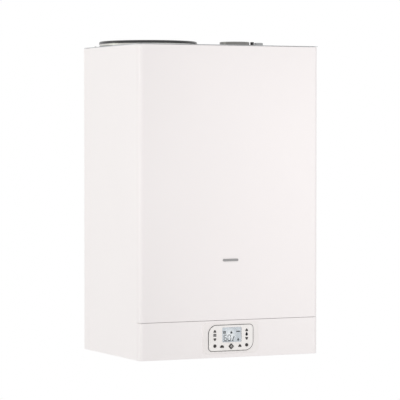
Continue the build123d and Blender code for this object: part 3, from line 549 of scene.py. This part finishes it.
def foam(name, tone):
    """Closed-cell insulation foam with its small cells."""
    material, tree, shader, place = new_material(name, 0.9)
    cells = add(tree, "TexVoronoi", {"Vector": place, "Scale": 520.0})
    shade = add(tree, "MapRange", {"Value": cells.outputs["Distance"], "From Max": 0.6,
                                   "To Min": 0.12, "To Max": 0.0})
    mixed = mix(tree, shade.outputs["Result"], with_alpha(tone), (0.02, 0.02, 0.02, 1.0))
    feed(tree, shader, {"Base Color": mixed})
    bump(tree, shader, cells.outputs["Distance"], 0.0006)
    return material


def clear_window(name, tone):
    """The display's clear window: almost nothing but its gloss."""
    material, tree, shader, place = new_material(name, 0.04)
    film = group(tree, "Settled Dust", {"Vector": place, "Amount": 0.2})
    haze = add(tree, "MapRange", {"Value": film.outputs["Mask"], "To Min": 0.05, "To Max": 0.3})
    feed(tree, shader, {"Base Color": with_alpha(tone), "Specular IOR Level": 0.25,
                        "Alpha": haze.outputs["Result"]})
    return material


def crystal_panel(name, tone, highlight_spot):
    """A liquid crystal: a faint pixel mesh over a pale grey-blue, with a painted highlight around
    one place.
    """
    material, tree, shader, place = new_material(name, 0.32)
    mesh = add(tree, "TexChecker", {"Vector": place, "Scale": 1600.0, "Color1": with_alpha(tone),
                                    "Color2": with_alpha(tone, 0.94)})
    drift = group(tree, "Tone Drift", {"Vector": place, "Colour": mesh.outputs["Color"],
                                       "Scale": 30.0, "Amount": 0.16})
    # painted highlight: the colour is lifted towards near-white within 25 mm of one spot
    away = add(tree, "VectorMath", {0: place, 1: tuple(highlight_spot)}, operation="DISTANCE")
    painted_highlight = add(tree, "MapRange", {"Value": away.outputs["Value"], "From Min": 0.0,
                                  "From Max": 0.025, "To Min": 1.1, "To Max": 0.0})
    lit = mix(tree, painted_highlight.outputs["Result"], drift.outputs["Colour"], (0.97, 0.99, 1.0, 1.0))
    feed(tree, shader, {"Base Color": lit})
    return material


def circuit_board(name, tone):
    """Solder lacquer with copper tracks under it."""
    material, tree, shader, place = new_material(name, 0.35)
    tracks = add(tree, "TexBrick", {"Vector": place, "Scale": 90.0, "Color1": with_alpha(tone),
                                    "Color2": with_alpha(tone, 1.5),
                                    "Mortar": (0.30, 0.42, 0.16, 1.0), "Mortar Size": 0.012})
    feed(tree, shader, {"Base Color": tracks.outputs["Color"]})
    bump(tree, shader, tracks.outputs["Fac"], 0.00003)
    return material


def finish(slot):
    """The material of a slot, made once."""
    ready = bpy.data.materials.get(slot)
    if ready and ready.get("finished"):
        return ready
    keypad, casing = settings().keypad, settings().casing
    # the spot where the display's painted highlight is brightest
    highlight_spot = middle("lcd_module") - Vector((6, 0, 2)) * MM
    makers = {
        "casing_paint": lambda: coated(slot, casing.paint, grain=casing.paint_grain),
        "galvanised": lambda: galvanised(slot, (0.56, 0.57, 0.58)),
        "screws": lambda: rolled(slot, (0.55, 0.55, 0.56), 0.3),
        "cradle_plastic": lambda: moulded(slot, keypad.cradle, 0.42),
        "unit_plastic": lambda: moulded(slot, keypad.shell, 0.30, relief=0.00001),
        "button_rubber": lambda: moulded(slot, keypad.keys, 0.6, gloss=0.25),
        "printed_ink": lambda: moulded(slot, keypad.ink, 0.6, gloss=0.15),
        "display_mask": lambda: moulded(slot, keypad.mask, 0.5),
        "badge_metal": lambda: rolled(slot, (0.40, 0.395, 0.395), 0.36),
        "dark_plastic": lambda: moulded(slot, (0.030, 0.030, 0.033), 0.5),
        "grey_plastic": lambda: moulded(slot, (0.34, 0.35, 0.36), 0.45),
        "black_rubber": lambda: moulded(slot, (0.010, 0.0095, 0.009), 0.26, gloss=0.68),
        "clear_window": lambda: clear_window(slot, (0.80, 0.88, 0.93)),
        "lcd": lambda: crystal_panel(slot, keypad.panel, highlight_spot),
        "circuit_board": lambda: circuit_board(slot, (0.02, 0.13, 0.06)),
        "steel_light": lambda: rolled(slot, (0.64, 0.63, 0.60), 0.38),
        "stainless": lambda: rolled(slot, (0.54, 0.525, 0.50), 0.3),
        "foam": lambda: foam(slot, (0.075, 0.075, 0.08)),
        "cast_aluminium": lambda: cast(slot, (0.52, 0.53, 0.54)),
        "aluminium": lambda: rolled(slot, (0.66, 0.67, 0.68), 0.33),
        "cast_iron": lambda: cast(slot, (0.030, 0.032, 0.035), metallic=0.0, roughness=0.5),
        "brass": lambda: rolled(slot, (0.55, 0.38, 0.14), 0.3),
        "copper": lambda: rolled(slot, (0.62, 0.27, 0.14), 0.28),
        "valve_metal": lambda: cast(slot, (0.36, 0.37, 0.39), scale=600.0),
        "vessel_paint": lambda: coated(slot, (0.34, 0.015, 0.012), 0.3),
        "collar_grey": lambda: moulded(slot, (0.44, 0.445, 0.45), 0.4),
        "collar_band": lambda: rolled(slot, (0.255, 0.25, 0.241), 0.34, lines=25.0),
    }
    return makers[slot]()


# ---------------------------------------------------------------- casing
def back_beads():
    """Pressed stiffening beads on the back sheet: two across and two upright between them."""
    bracket_gap, half_width, half_length, half_upright = 0.026, 0.011, 0.21, 0.085
    depth = settings().casing.bead_depth
    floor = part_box("rear_frame")[0][2]
    back = MOUNTS["wall_fixing"]["pos_m"][1] - bracket_gap
    across = (half_length, half_width, ((0, 0, 0.30), (0, 0, 0.55)))
    upright = (half_width, half_upright, ((-0.12, 0, 0.425), (0.12, 0, 0.425)))
    beads = []
    for half_x, half_z, places in (across, upright):
        x, level = places[0][0], floor + places[0][2]
        bead = block("back_beads", (x - half_x, back - SUNK, level - half_z),
                     (x + half_x, back + depth, level + half_z))
        pick(bead, "FACE", lambda place, normal: normal.y > ALIGNED)
        bpy.ops.transform.resize(value=(0.955, 1, 0.62))
        bpy.ops.object.mode_set(mode="OBJECT")
        round_edges(bead, 0.0016)
        beads += repeat(bead, places)
    complete(join("back_beads", beads), "casing", "casing_paint")


def screw_crosses():
    """A dark cross on each panel screw's head: painted shade that stands in for its cross recess.
    """
    head_radius, half_length, half_width, proud = 0.0042, 0.0019, 0.00035, 0.00005
    low, high = corners("panel_screws")
    places = [(x, y, high.z) for x in (low.x + head_radius, high.x - head_radius)
              for y in (-0.400, -0.250, -0.100)]
    x, y, top = places[0]
    arms = []
    for turn in (0.0, math.pi / 2):
        arm = block("screw_crosses", (x - half_length, y - half_width, top - SUNK),
                    (x + half_length, y + half_width, top + proud))
        turn_about(arm, turn, "Z", places[0])
        round_edges(arm, 0.00012, segments=2)
        arms.append(arm)
    crosses = repeat(join("screw_crosses", arms), places)
    # dark plastic paints the shade of the cross recess onto the head
    complete(join("screw_crosses", crosses), "casing", "dark_plastic")


def cover_badge():
    """A blank pill-shaped plate where such a cover carries its badge."""
    casing = settings().casing
    proud, half_depth = 0.0004, 0.0009
    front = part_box("front_cover")[0][1]
    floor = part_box("fascia")[0][2]
    centre = Vector((0, front - proud, floor + casing.badge_level))
    half = Vector((casing.badge_width / 2, half_depth, casing.badge_height / 2))
    badge = block("cover_badge", centre - half, centre + half)
    round_corners(badge, half.z * 0.96, 10)
    sink(badge, "y", -1, (0.0009, 0.0), (0.0003, -0.0002))
    complete(badge, "cover", "badge_metal")


class BOILER_OT_casing(Operator):
    """Finish the fixed casing and add its pressed beads and the painted shade of its screw recesses
    """

    bl_idname = "boiler.casing"
    bl_label = "Casing"

    def execute(self, context):
        dress("rear_frame", "side_panel_left", "side_panel_right", "top_panel", "bottom_tray",
              "wall_bracket", "cover_clips", "panel_screws")
        back_beads()
        screw_crosses()
        return {"FINISHED"}


class BOILER_OT_cover(Operator):
    """Finish the lift-off front cover and add its blank badge"""

    bl_idname = "boiler.cover"
    bl_label = "Front cover"

    def execute(self, context):
        dress("front_cover", "cover_insulation", "cover_studs")
        cover_badge()
        return {"FINISHED"}


# ---------------------------------------------------------------- keypad
def bar(name, centre, width, height, depth, turn=0.0, point=0.0):
    """A thin upright bar that faces the viewer, with pointed ends where a point is given."""
    half = Vector((width / 2, depth / 2, height / 2))
    piece = block(name, centre - half, centre + half)
    if point:
        for side in (-1, 1):
            pick(piece, "FACE", lambda place, normal, side=side: normal.x * side > ALIGNED)
            bpy.ops.mesh.extrude_region_move(
                TRANSFORM_OT_translate={"value": (side * point, 0, 0)})
            bpy.ops.transform.resize(value=(1, 1, 0.15))
            bpy.ops.object.mode_set(mode="OBJECT")
    if turn:
        turn_about(piece, turn, "Y", centre)
    return piece


SEGMENTS = {  # name: (x, z, upright) in halves of the digit's width and height
    "top": (0, 1, False), "middle": (0, 0, False), "bottom": (0, -1, False),
    "top_left": (-1, 0.5, True), "top_right": (1, 0.5, True),
    "bottom_left": (-1, -0.5, True), "bottom_right": (1, -0.5, True),
}
SIX = ("top", "top_left", "middle", "bottom_left", "bottom_right", "bottom")
ZERO = ("top", "top_left", "top_right", "bottom_left", "bottom_right", "bottom")


def digit(name, centre, height, lit, depth):
    """One seven-segment figure."""
    half_w, half_h, line = height * 0.27, height / 2, height * 0.13
    bars = []
    for upright, reach, turn in ((False, 2 * half_w, 0.0), (True, half_h, math.pi / 2)):
        places = [centre + RIGHT * x * half_w + UP * z * half_h
                  for x, z, stands in map(SEGMENTS.get, lit) if stands == upright]
        first = bar(name, places[0], reach - line * 1.5, line, depth, turn, point=line * 0.45)
        bars += repeat(first, places)
    return bars


def radiator_symbol(name, centre, size, depth):
    """Four columns between two rails."""
    pitch, column, tall, rail = size * 0.26, size * 0.17, size * 0.86, size * 0.15
    columns = [centre + RIGHT * (i - 1.5) * pitch for i in range(4)]
    rails = [centre + UP * side * size * 0.24 for side in (-1, 1)]
    return [*repeat(bar(name, columns[0], column, tall, depth), columns),
            *repeat(bar(name, rails[0], size, rail, depth), rails)]


def drop_symbol(name, centre, size, depth):
    """A water drop: a disc drawn up to a point."""
    radius, round_middle = size * 0.32, centre - UP * size * 0.12
    drop = drum(name, round_middle, radius, depth, axis="Y", sides=24)
    for vertex in drop.data.vertices:
        share = (vertex.co.z - round_middle.z) / radius
        if share > 0:
            vertex.co.x = centre.x + (vertex.co.x - centre.x) * (1 - share ** 2 * 0.55)
            vertex.co.z += share ** 2 * size * 0.30
    return [drop]


def flame_symbol(name, centre, size, depth):
    """A flame: a drop with a small tongue beside it."""
    tongue = centre + RIGHT * size * 0.26 - UP * size * 0.1
    return [*drop_symbol(name, centre, size, depth),
            *drop_symbol(name, tongue, size * 0.55, depth)]


def display_figures():
    """What the display shows: two large figures, symbols, a level bar and a scale of dashes, which
    also paints shade along the display's lower edge.
    """
    keypad = settings().keypad
    depth, tall, name = keypad.print_depth, keypad.digit_height, "display_figures"
    glass = middle("lcd_module")
    glass.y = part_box("lcd_module")[0][1] - depth / 2

    def at(x, z):
        """A place on the glass, in millimetres from its middle."""
        return glass + Vector((x, 0, z)) * MM

    marks = digit(name, at(-20.5, -9.5), tall, SIX, depth)
    marks += digit(name, at(-7.5, -9.5), tall, ZERO, depth)
    marks += radiator_symbol(name, at(-24.0, 7.5), 0.0095, depth)
    marks += flame_symbol(name, at(-1.0, 6.5), 0.0100, depth)
    marks += drop_symbol(name, at(22.5, -15.5), 0.0095, depth)
    marks.append(bar(name, at(22.5, 9.0), 0.0125, 0.0036, depth))
    marks.append(bar(name, at(6.0, -12.0), 0.0150, 0.0026, depth, turn=math.radians(68)))
    # a printed scale that also stands in for painted shade along the display's lower edge
    scale_and_shade_dashes = [at(-26.5 + 4.6 * step, -19.6) for step in range(8)]
    marks += repeat(bar(name, scale_and_shade_dashes[0], 0.0038, 0.0016, depth), scale_and_shade_dashes)
    complete(join(name, marks), "control_unit", "printed_ink")


def keypad_prints():
    """Printed symbols between the up and down keys: a radiator at the left, a drop at the right."""
    depth = settings().keypad.print_depth
    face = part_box("unit_front")[0][1] - depth / 2
    share = 0.53  # of the way from the lower key to the upper one
    marks = []
    for side, symbol, size in (("heating", radiator_symbol, 0.0100),
                               ("water", drop_symbol, 0.0135)):
        upper, lower = middle(f"button_{side}_up"), middle(f"button_{side}_down")
        centre = lower + (upper - lower) * share
        centre.y = face
        marks += symbol("keypad_prints", centre, size, depth)
    complete(join("keypad_prints", marks), "control_unit", "printed_ink")


def window_frame():
    """The narrow raised rim around the display's window."""
    rim, proud, corner = 0.0014, 0.0006, 0.0052
    low, high = corners("display_window")
    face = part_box("unit_front")[0][1]
    piece = block("window_frame", (low.x - rim, face - proud, low.z - rim),
                  (high.x + rim, face + SUNK, high.z + rim))
    round_corners(piece, corner, 8)
    hollow(piece, "y", rim)
    round_edges(piece, 0.0002, segments=2, angle=50)
    complete(piece, "control_unit", "unit_plastic")


def display_mask():
    """The pale frame between the window and the display's glass."""
    border, front, back = 0.0020, 0.0007, 0.0002
    low, high = corners("lcd_module")
    piece = block("display_mask", (low.x, low.y - front, low.z),
                  (high.x, low.y - back, high.z))
    hollow(piece, "y", border)
    round_edges(piece, 0.0001, segments=1, angle=50)
    complete(piece, "control_unit", "display_mask")


def select_ring():
    """The pale light ring in the middle of the select key."""
    radius, thickness, below_face = 0.0028, 0.0006, 0.0001
    centre = middle("button_select")
    centre.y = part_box("button_select")[0][1] + below_face
    ring = drum("select_ring", centre, radius, thickness, axis="Y", sides=36)
    sink(ring, "y", -1, (0.0012, -0.0002))
    round_edges(ring, 0.0001, segments=2, angle=50)
    complete(ring, "button_select_key", "unit_plastic")


def keypad_seal():
    """The dark seal that lies in the groove around the keypad."""
    reach, front, back = 0.0014, 0.0016, 0.0050
    large, small = 0.026, 0.011  # the two corner radii, each on one diagonal
    low, high = corners("unit_front")
    centre = (low + high) / 2
    seal = block("keypad_seal", (low.x - reach, low.y + front, low.z - reach),
                 (high.x + reach, low.y + back, high.z + reach))
    for diagonal, radius in ((-1, large), (1, small)):
        round_corners(seal, radius + reach, 14, lambda place, diagonal=diagonal:
                      (place.x - centre.x) * (place.z - centre.z) * diagonal > 0)
    hollow(seal, "y", reach - 0.0001)
    round_edges(seal, 0.0002, segments=2, angle=50)
    complete(seal, "control_unit", "black_rubber")


class BOILER_OT_control_box(Operator):
    """Finish the tilting fascia and the electronics behind it"""

    bl_idname = "boiler.control_box"
    bl_label = "Control box"

    def execute(self, context):
        dress("fascia", "control_box_housing", "control_box_lid", "main_pcb", "unit_cradle")
        return {"FINISHED"}


class BOILER_OT_keypad(Operator):
    """Finish the keypad unit and print its symbols"""

    bl_idname = "boiler.keypad"
    bl_label = "Keypad"

    def execute(self, context):
        dress("unit_front", "unit_back", "unit_pcb")
        dress(*(node for node in frame["nodes"] if node.startswith("button_")))
        keypad_prints()
        keypad_seal()
        select_ring()
        return {"FINISHED"}


class BOILER_OT_display(Operator):
    """Finish the display and draw what it shows"""

    bl_idname = "boiler.display"
    bl_label = "Display"

    def execute(self, context):
        dress("display_window", "lcd_module")
        window_frame()
        display_mask()
        display_figures()
        return {"FINISHED"}


# ---------------------------------------------------------------- top of the casing
def flue_seal():
    """The black lip ring that grips the flue pipe inside the collar."""
    mount = MOUNTS["flue_socket"]
    radius, overlap, above_seat = mount["dims"]["r_mm"] * MM, 0.0002, 0.008
    centre = Vector(mount["pos_m"]) + UP * above_seat
    seal = lip_ring("flue_seal", centre, radius - overlap, 0.0016, 96)
    pick(seal, "FACE",
         lambda place, normal: place.z < centre.z and (place - centre).xy.length < radius)
    bpy.ops.transform.resize(value=(0.985, 0.985, 1), center_override=tuple(centre))
    bpy.ops.object.mode_set(mode="OBJECT")
    complete(seal, "casing", "black_rubber", angle=60)


def collar_band():
    """The dark sleeve around the flue collar."""
    radius, height, below_top, wall = 0.0468, 0.0154, 0.0006, 0.00055
    x, y = MOUNTS["flue_socket"]["pos_m"][:2]
    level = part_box("flue_collar")[1][2] - below_top - height / 2
    band = hoop("collar_band", (x, y, level), radius, height, wall, sides=96)
    round_edges(band, 0.0002, segments=2, angle=50)
    complete(band, "casing", "collar_band")


def tank_gasket():
    """The thin black seal under the edge of the tank's cover. Its black also paints the shadow line
    under that edge.
    """
    reach, height, wall, above_low = 0.0009, 0.0020, 0.0030, 0.0011
    low, high = corners("tank_cover")
    centre = (low + high) / 2
    centre.z = low.z + above_low
    seal = hoop("tank_gasket", centre, (high.x - low.x) / 2 + reach, height, wall)
    round_edges(seal, 0.0005, angle=50)
    # black rubber: a real seal, and also painted shadow along the foot of the cover
    complete(seal, "casing", "black_rubber")


def cover_ribs():
    """Raised rings, spokes and a round grip in the hollow top of the tank's cover."""
    recess, ring_rise, ring_wall = 0.0025, 0.0014, 0.004
    spokes, spoke_start, spoke_end, half_width, spoke_rise = 12, 0.060, 0.1405, 0.0015, 0.0009
    grip_radius, grip_height = 0.024, 0.0026
    centre, top = middle("tank_cover_rim"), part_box("tank_cover_rim")[1][2]
    x, y, floor = centre.x, centre.y, top - recess
    level = floor + (ring_rise - SUNK) / 2
    ribs = [hoop("cover_ribs", (x, y, level), radius, ring_rise, ring_wall)
            for radius in (0.128, 0.096, 0.064)]
    spoke = block("cover_ribs", (x + spoke_start, y - half_width, floor - SUNK),
                  (x + spoke_end, y + half_width, floor + spoke_rise))
    for step, rib in enumerate(repeat(spoke, [centre] * spokes)):
        turn_about(rib, step * 2 * math.pi / spokes, "Z", (x, y, floor))
        ribs.append(rib)
    grip = drum("cover_ribs", (x, y, floor + spoke_rise), grip_radius, grip_height, sides=64)
    sink(grip, "z", 1, (0.004, 0.0), (0.002, -0.0012))
    ribs.append(grip)
    for rib in ribs:
        round_edges(rib, 0.0003, segments=2, angle=40)
    complete(join("cover_ribs", ribs), "casing", "black_rubber")


def plate_screws():
    """A flat-headed screw in each corner of the flue collar's plate."""
    inward, radius, height, plate_thickness, lift = 0.009, 0.0036, 0.0018, 0.003, 0.0007
    low, high = corners("flue_collar")
    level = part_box("top_panel")[1][2] + plate_thickness + lift
    places = [(x, y, level) for x in (low.x + inward, high.x - inward)
              for y in (low.y + inward, high.y - inward)]
    head = drum("plate_screws", places[0], radius, height, sides=32)
    sink(head, "z", 1, (radius / 2, 0.0), (0.0002, -0.0008))
    round_edges(head, 0.0004, angle=40)
    complete(join("plate_screws", repeat(head, places)), "casing", "screws")


class BOILER_OT_top(Operator):
    """Finish the flue collar, its cap and the tank's cover"""

    bl_idname = "boiler.top"
    bl_label = "Top fittings"

    def execute(self, context):
        dress("flue_pipe", "flue_collar", "sampling_cap", "tank_cover", "tank_cover_rim")
        flue_seal()
        collar_band()
        tank_gasket()
        cover_ribs()
        plate_screws()
        return {"FINISHED"}


# ---------------------------------------------------------------- inside
class BOILER_OT_heat_engine(Operator):
    """Finish the exchanger, burner, fan and gas parts"""

    bl_idname = "boiler.heat_engine"
    bl_label = "Heat engine"

    def execute(self, context):
        dress("exchanger_shell", "exchanger_core", "burner_door", "burner_tube", "fan_housing",
              "fan_impeller", "fan_motor", "gas_valve", "gas_pipe", "condensate_siphon")
        return {"FINISHED"}


def tank_straps():
    """Two bands with a buckle that hold the insulation to the tank."""
    proud, height, wall = 0.0008, 0.016, 0.0011
    half_width, half_height, front, back = 0.014, 0.011, 0.0022, 0.0020  # of a buckle
    low, high = corners("tank_insulation")
    x, y = middle("tank_insulation").xy
    places = [(x, y, low.z + (high.z - low.z) * share) for share in (0.25, 0.75)]
    level = places[0][2]
    band = hoop("tank_straps", places[0], (high.x - low.x) / 2 + proud, height, wall)
    round_edges(band, 0.0003, segments=2, angle=50)
    buckle = block("tank_straps", (x - half_width, low.y - front, level - half_height),
                   (x + half_width, low.y + back, level + half_height))
    round_edges(buckle, 0.0009)
    strap = join("tank_straps", [band, buckle])
    complete(join("tank_straps", repeat(strap, places)), "casing", "steel_light")


class BOILER_OT_tank(Operator):
    """Finish the storage tank and its insulation"""

    bl_idname = "boiler.tank"
    bl_label = "Storage tank"

    def execute(self, context):
        dress("inner_tank", "tank_shell", "tank_insulation")
        tank_straps()
        return {"FINISHED"}


# ---------------------------------------------------------------- plumbing
def thread(name, centre, radius, depth):
    """A screw thread on a pipe end, turned up from one tooth."""
    plumbing = settings().plumbing
    pitch, crest = plumbing.thread_pitch, plumbing.thread_height
    turns = int(depth / pitch) - 1
    deselect()
    bpy.ops.mesh.primitive_circle_add(vertices=3, radius=crest, fill_type="NGON",
                                      location=(0, 0, 0), rotation=(math.pi / 2, 0, 0))
    piece = settle(name)
    pick_all(piece)
    bpy.ops.transform.rotate(value=-math.pi / 2, orient_axis="Y", center_override=(0, 0, 0))
    bpy.ops.transform.translate(value=(radius - crest * 0.35, 0, -turns * pitch / 2))
    bpy.ops.object.mode_set(mode="OBJECT")
    apply_modifier(piece, "SCREW", axis="Z", screw_offset=pitch, iterations=turns, steps=32,
                   render_steps=32, angle=2 * math.pi, use_merge_vertices=True)
    pick_all(piece)
    bpy.ops.mesh.fill_holes(sides=3)
    bpy.ops.mesh.normals_make_consistent(inside=False)
    bpy.ops.transform.translate(value=centre)
    bpy.ops.object.mode_set(mode="OBJECT")
    return piece


PIPE_NODES = {"hot_connection": "hot_pipe", "cold_connection": "cold_pipe",
              "gas_connection": "gas_pipe", "return_connection": "return_pipe",
              "flow_connection": "flow_pipe"}


def pipe_threads():
    """A thread on each of the five pipe ends below the casing."""
    plain_end = 0.003
    for mount, node in PIPE_NODES.items():
        dims, centre = MOUNTS[mount]["dims"], Vector(MOUNTS[mount]["pos_m"])
        piece = thread(node + "_thread", centre, dims["r_mm"] * MM,
                       dims["length_mm"] * MM - plain_end)
        complete(piece, "casing", "brass", angle=50)


def tray_grommets():
    """A rubber seal around each pipe where it passes the floor tray."""
    half_lip = settings().plumbing.grommet_lip * 0.55
    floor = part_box("bottom_tray")[0][2]
    for mount in (*PIPE_NODES, "condensate_outlet"):
        x, y = MOUNTS[mount]["pos_m"][:2]
        radius = MOUNTS[mount]["dims"]["r_mm"] * MM
        seal = lip_ring(mount + "_seal", (x, y, floor - SUNK), radius + half_lip, half_lip, 64)
        pick_all(seal)
        bpy.ops.transform.resize(value=(1, 1, 0.7), center_override=(x, y, floor))
        bpy.ops.object.mode_set(mode="OBJECT")
        complete(seal, "casing", "black_rubber", angle=60)


class BOILER_OT_plumbing(Operator):
    """Finish the pump, valves and pipes, and cut their threads"""

    bl_idname = "boiler.plumbing"
    bl_label = "Plumbing"

    def execute(self, context):
        dress("pump_housing", "pump_motor", "pump_rotor", "diverter_valve", "diverter_spindle",
              "expansion_vessel", "safety_valve", "flow_pipe", "return_pipe", "charge_pipes",
              "hot_pipe", "cold_pipe")
        pipe_threads()
        tray_grommets()
        return {"FINISHED"}


# ---------------------------------------------------------------- studio
CAMERA_PLACE = (-3.0277, -6.6984, -0.1980)
KEY_LAMP = {"place": (-3.5, 1.1, 0.6), "target": (-0.3, -0.25, -0.35), "size": (0.7, 1.5),
            "tint": (0.94, 0.995, 0.88)}
FILL_LAMP = {"place": (-2.4, -5.4, 0.2), "target": (0.66, -0.466, -0.31), "size": (0.7, 0.7),
             "tint": (1.0, 0.98, 0.985), "cone": 26}


def add_camera():
    """The photograph's view, from the front left and a little above the middle."""
    stage = settings().stage
    bpy.ops.object.camera_add(location=CAMERA_PLACE,
                              rotation=(math.pi / 2 - stage.dip, 0, -stage.turn))
    camera = bpy.context.object
    camera.name = "camera"
    camera.data.lens = stage.lens
    camera.data.sensor_width = 36
    camera.data.clip_end = 100
    bpy.context.scene.camera = camera


def add_lamp(name, place, target, size, power, tint, cone=180):
    """A soft lamp aimed at a point, shining into a cone of this many degrees."""
    aim = (Vector(target) - Vector(place)).to_track_quat("-Z", "Y").to_euler()
    bpy.ops.object.light_add(type="AREA", location=place, rotation=aim)
    lamp = bpy.context.object
    lamp.name = name
    lamp.data.shape = "ELLIPSE"
    lamp.data.size, lamp.data.size_y = size
    lamp.data.energy = power
    lamp.data.color = tint
    lamp.data.spread = math.radians(cone)
    lamp.visible_camera = False
    return lamp


def add_floor():
    """A round pale floor well below the boiler, seen only from above and fading out at its rim."""
    radius, thickness, fade_from, fade_to = 3.2, 0.02, 1.3, 3.1
    top = cad_bounds[0][2] - settings().stage.floor_drop
    deselect()
    bpy.ops.mesh.primitive_cylinder_add(vertices=128, radius=radius, depth=thickness,
                                        location=(0, 0, top - thickness / 2))
    floor = settle("floor")
    round_edges(floor, 0.006, angle=60)
    material, tree, shader, place = new_material("pale_floor", 0.75)
    drifting(tree, shader, place, (0.86, 0.86, 0.86), 1.2, 0.03)
    flat = add(tree, "VectorMath", {0: place, 1: (1.0, 1.0, 0.0)}, operation="MULTIPLY")
    away = add(tree, "VectorMath", {0: flat.outputs["Vector"]}, operation="LENGTH")
    faded = add(tree, "MapRange", {"Value": away.outputs["Value"], "From Min": fade_from,
                                   "From Max": fade_to}, interpolation_type="SMOOTHSTEP")
    facing = add(tree, "SeparateXYZ", {"Vector": add(tree, "NewGeometry").outputs["Normal"]})
    hidden = maths(tree, "LESS_THAN", facing.outputs["Z"], 0.2)
    clear = maths(tree, "MAXIMUM", faded.outputs["Result"], hidden)
    mixed = add(tree, "MixShader", {0: clear, 1: shader.outputs["BSDF"],
                                    2: add(tree, "BsdfTransparent").outputs["BSDF"]})
    feed(tree, tree.nodes["Material Output"], {"Surface": mixed.outputs["Shader"]})
    floor.data.materials.append(material)


def add_sky():
    """White to the camera and in reflections, and a softer light that is stronger from the left."""
    stage = settings().stage
    world = bpy.data.worlds.new("studio")
    bpy.context.scene.world = world
    world.use_nodes = True
    tree = world.node_tree
    tree.nodes.clear()
    ray = add(tree, "LightPath").outputs
    seen = maths(tree, "MAXIMUM", ray["Is Camera Ray"], ray["Is Glossy Ray"])
    seen = maths(tree, "MAXIMUM", seen, ray["Is Transmission Ray"])
    across = add(tree, "SeparateXYZ", {"Vector": add(tree, "TexCoord").outputs["Generated"]})
    level = add(tree, "MapRange", {"Value": across.outputs["X"], "From Min": -1.0,
                                   "From Max": 1.0, "To Min": stage.sky * (1 + stage.lean),
                                   "To Max": stage.sky * (1 - stage.lean)})
    light = add(tree, "Background", {"Color": (1, 1, 1, 1), "Strength": level.outputs["Result"]})
    backdrop = add(tree, "Background", {"Color": (1, 1, 1, 1), "Strength": 1.0})
    mixed = add(tree, "MixShader", {0: seen, 1: light.outputs["Background"],
                                    2: backdrop.outputs["Background"]})
    add(tree, "OutputWorld", {"Surface": mixed.outputs["Shader"]})


class BOILER_OT_stage(Operator):
    """Add the floor, the lamps, the white surroundings and the camera"""

    bl_idname = "boiler.stage"
    bl_label = "Stage"

    def execute(self, context):
        stage = settings().stage
        context.scene.view_settings.view_transform = "Standard"
        add_floor()
        add_sky()
        add_lamp("key_lamp", power=stage.key, **KEY_LAMP)
        fill = add_lamp("fill_lamp", power=stage.fill, **FILL_LAMP)
        fill.visible_glossy = False
        add_camera()
        return {"FINISHED"}


# ---------------------------------------------------------------- add-on
class BOILER_PT_studio(Panel):
    """Lists the boiler's parts and their settings"""

    bl_label = "Combi boiler"
    bl_idname = "BOILER_PT_studio"
    bl_space_type = "VIEW_3D"
    bl_region_type = "UI"
    bl_category = "Boiler"

    def draw(self, context):
        boiler = context.scene.boiler
        for title, group_name in (("Casing", "casing"), ("Keypad", "keypad"),
                                  ("Plumbing", "plumbing"), ("Stage", "stage")):
            box = self.layout.box()
            box.label(text=title)
            part = getattr(boiler, group_name)
            for name in part.bl_rna.properties.keys():
                if name not in {"name", "rna_type"}:
                    box.prop(part, name)
        for operator in STEPS:
            self.layout.operator(operator.bl_idname)


STEPS = (BOILER_OT_casing, BOILER_OT_cover, BOILER_OT_control_box, BOILER_OT_keypad,
         BOILER_OT_display, BOILER_OT_top, BOILER_OT_heat_engine, BOILER_OT_tank,
         BOILER_OT_plumbing, BOILER_OT_stage)
CLASSES = (CasingSettings, KeypadSettings, PlumbingSettings, StageSettings, BoilerSettings, *STEPS,
           BOILER_PT_studio)


def register():
    """Adds the classes and the scene's settings."""
    for cls in CLASSES:
        bpy.utils.register_class(cls)
    bpy.types.Scene.boiler = PointerProperty(type=BoilerSettings)


def unregister():
    """Takes them away again."""
    del bpy.types.Scene.boiler
    for cls in reversed(CLASSES):
        bpy.utils.unregister_class(cls)


def main():
    """Builds everything."""
    register()
    bpy.ops.boiler.casing()
    bpy.ops.boiler.cover()
    bpy.ops.boiler.control_box()
    bpy.ops.boiler.keypad()
    bpy.ops.boiler.display()
    bpy.ops.boiler.top()
    bpy.ops.boiler.heat_engine()
    bpy.ops.boiler.tank()
    bpy.ops.boiler.plumbing()
    bpy.ops.boiler.stage()


if __name__ == "__main__":
    main()
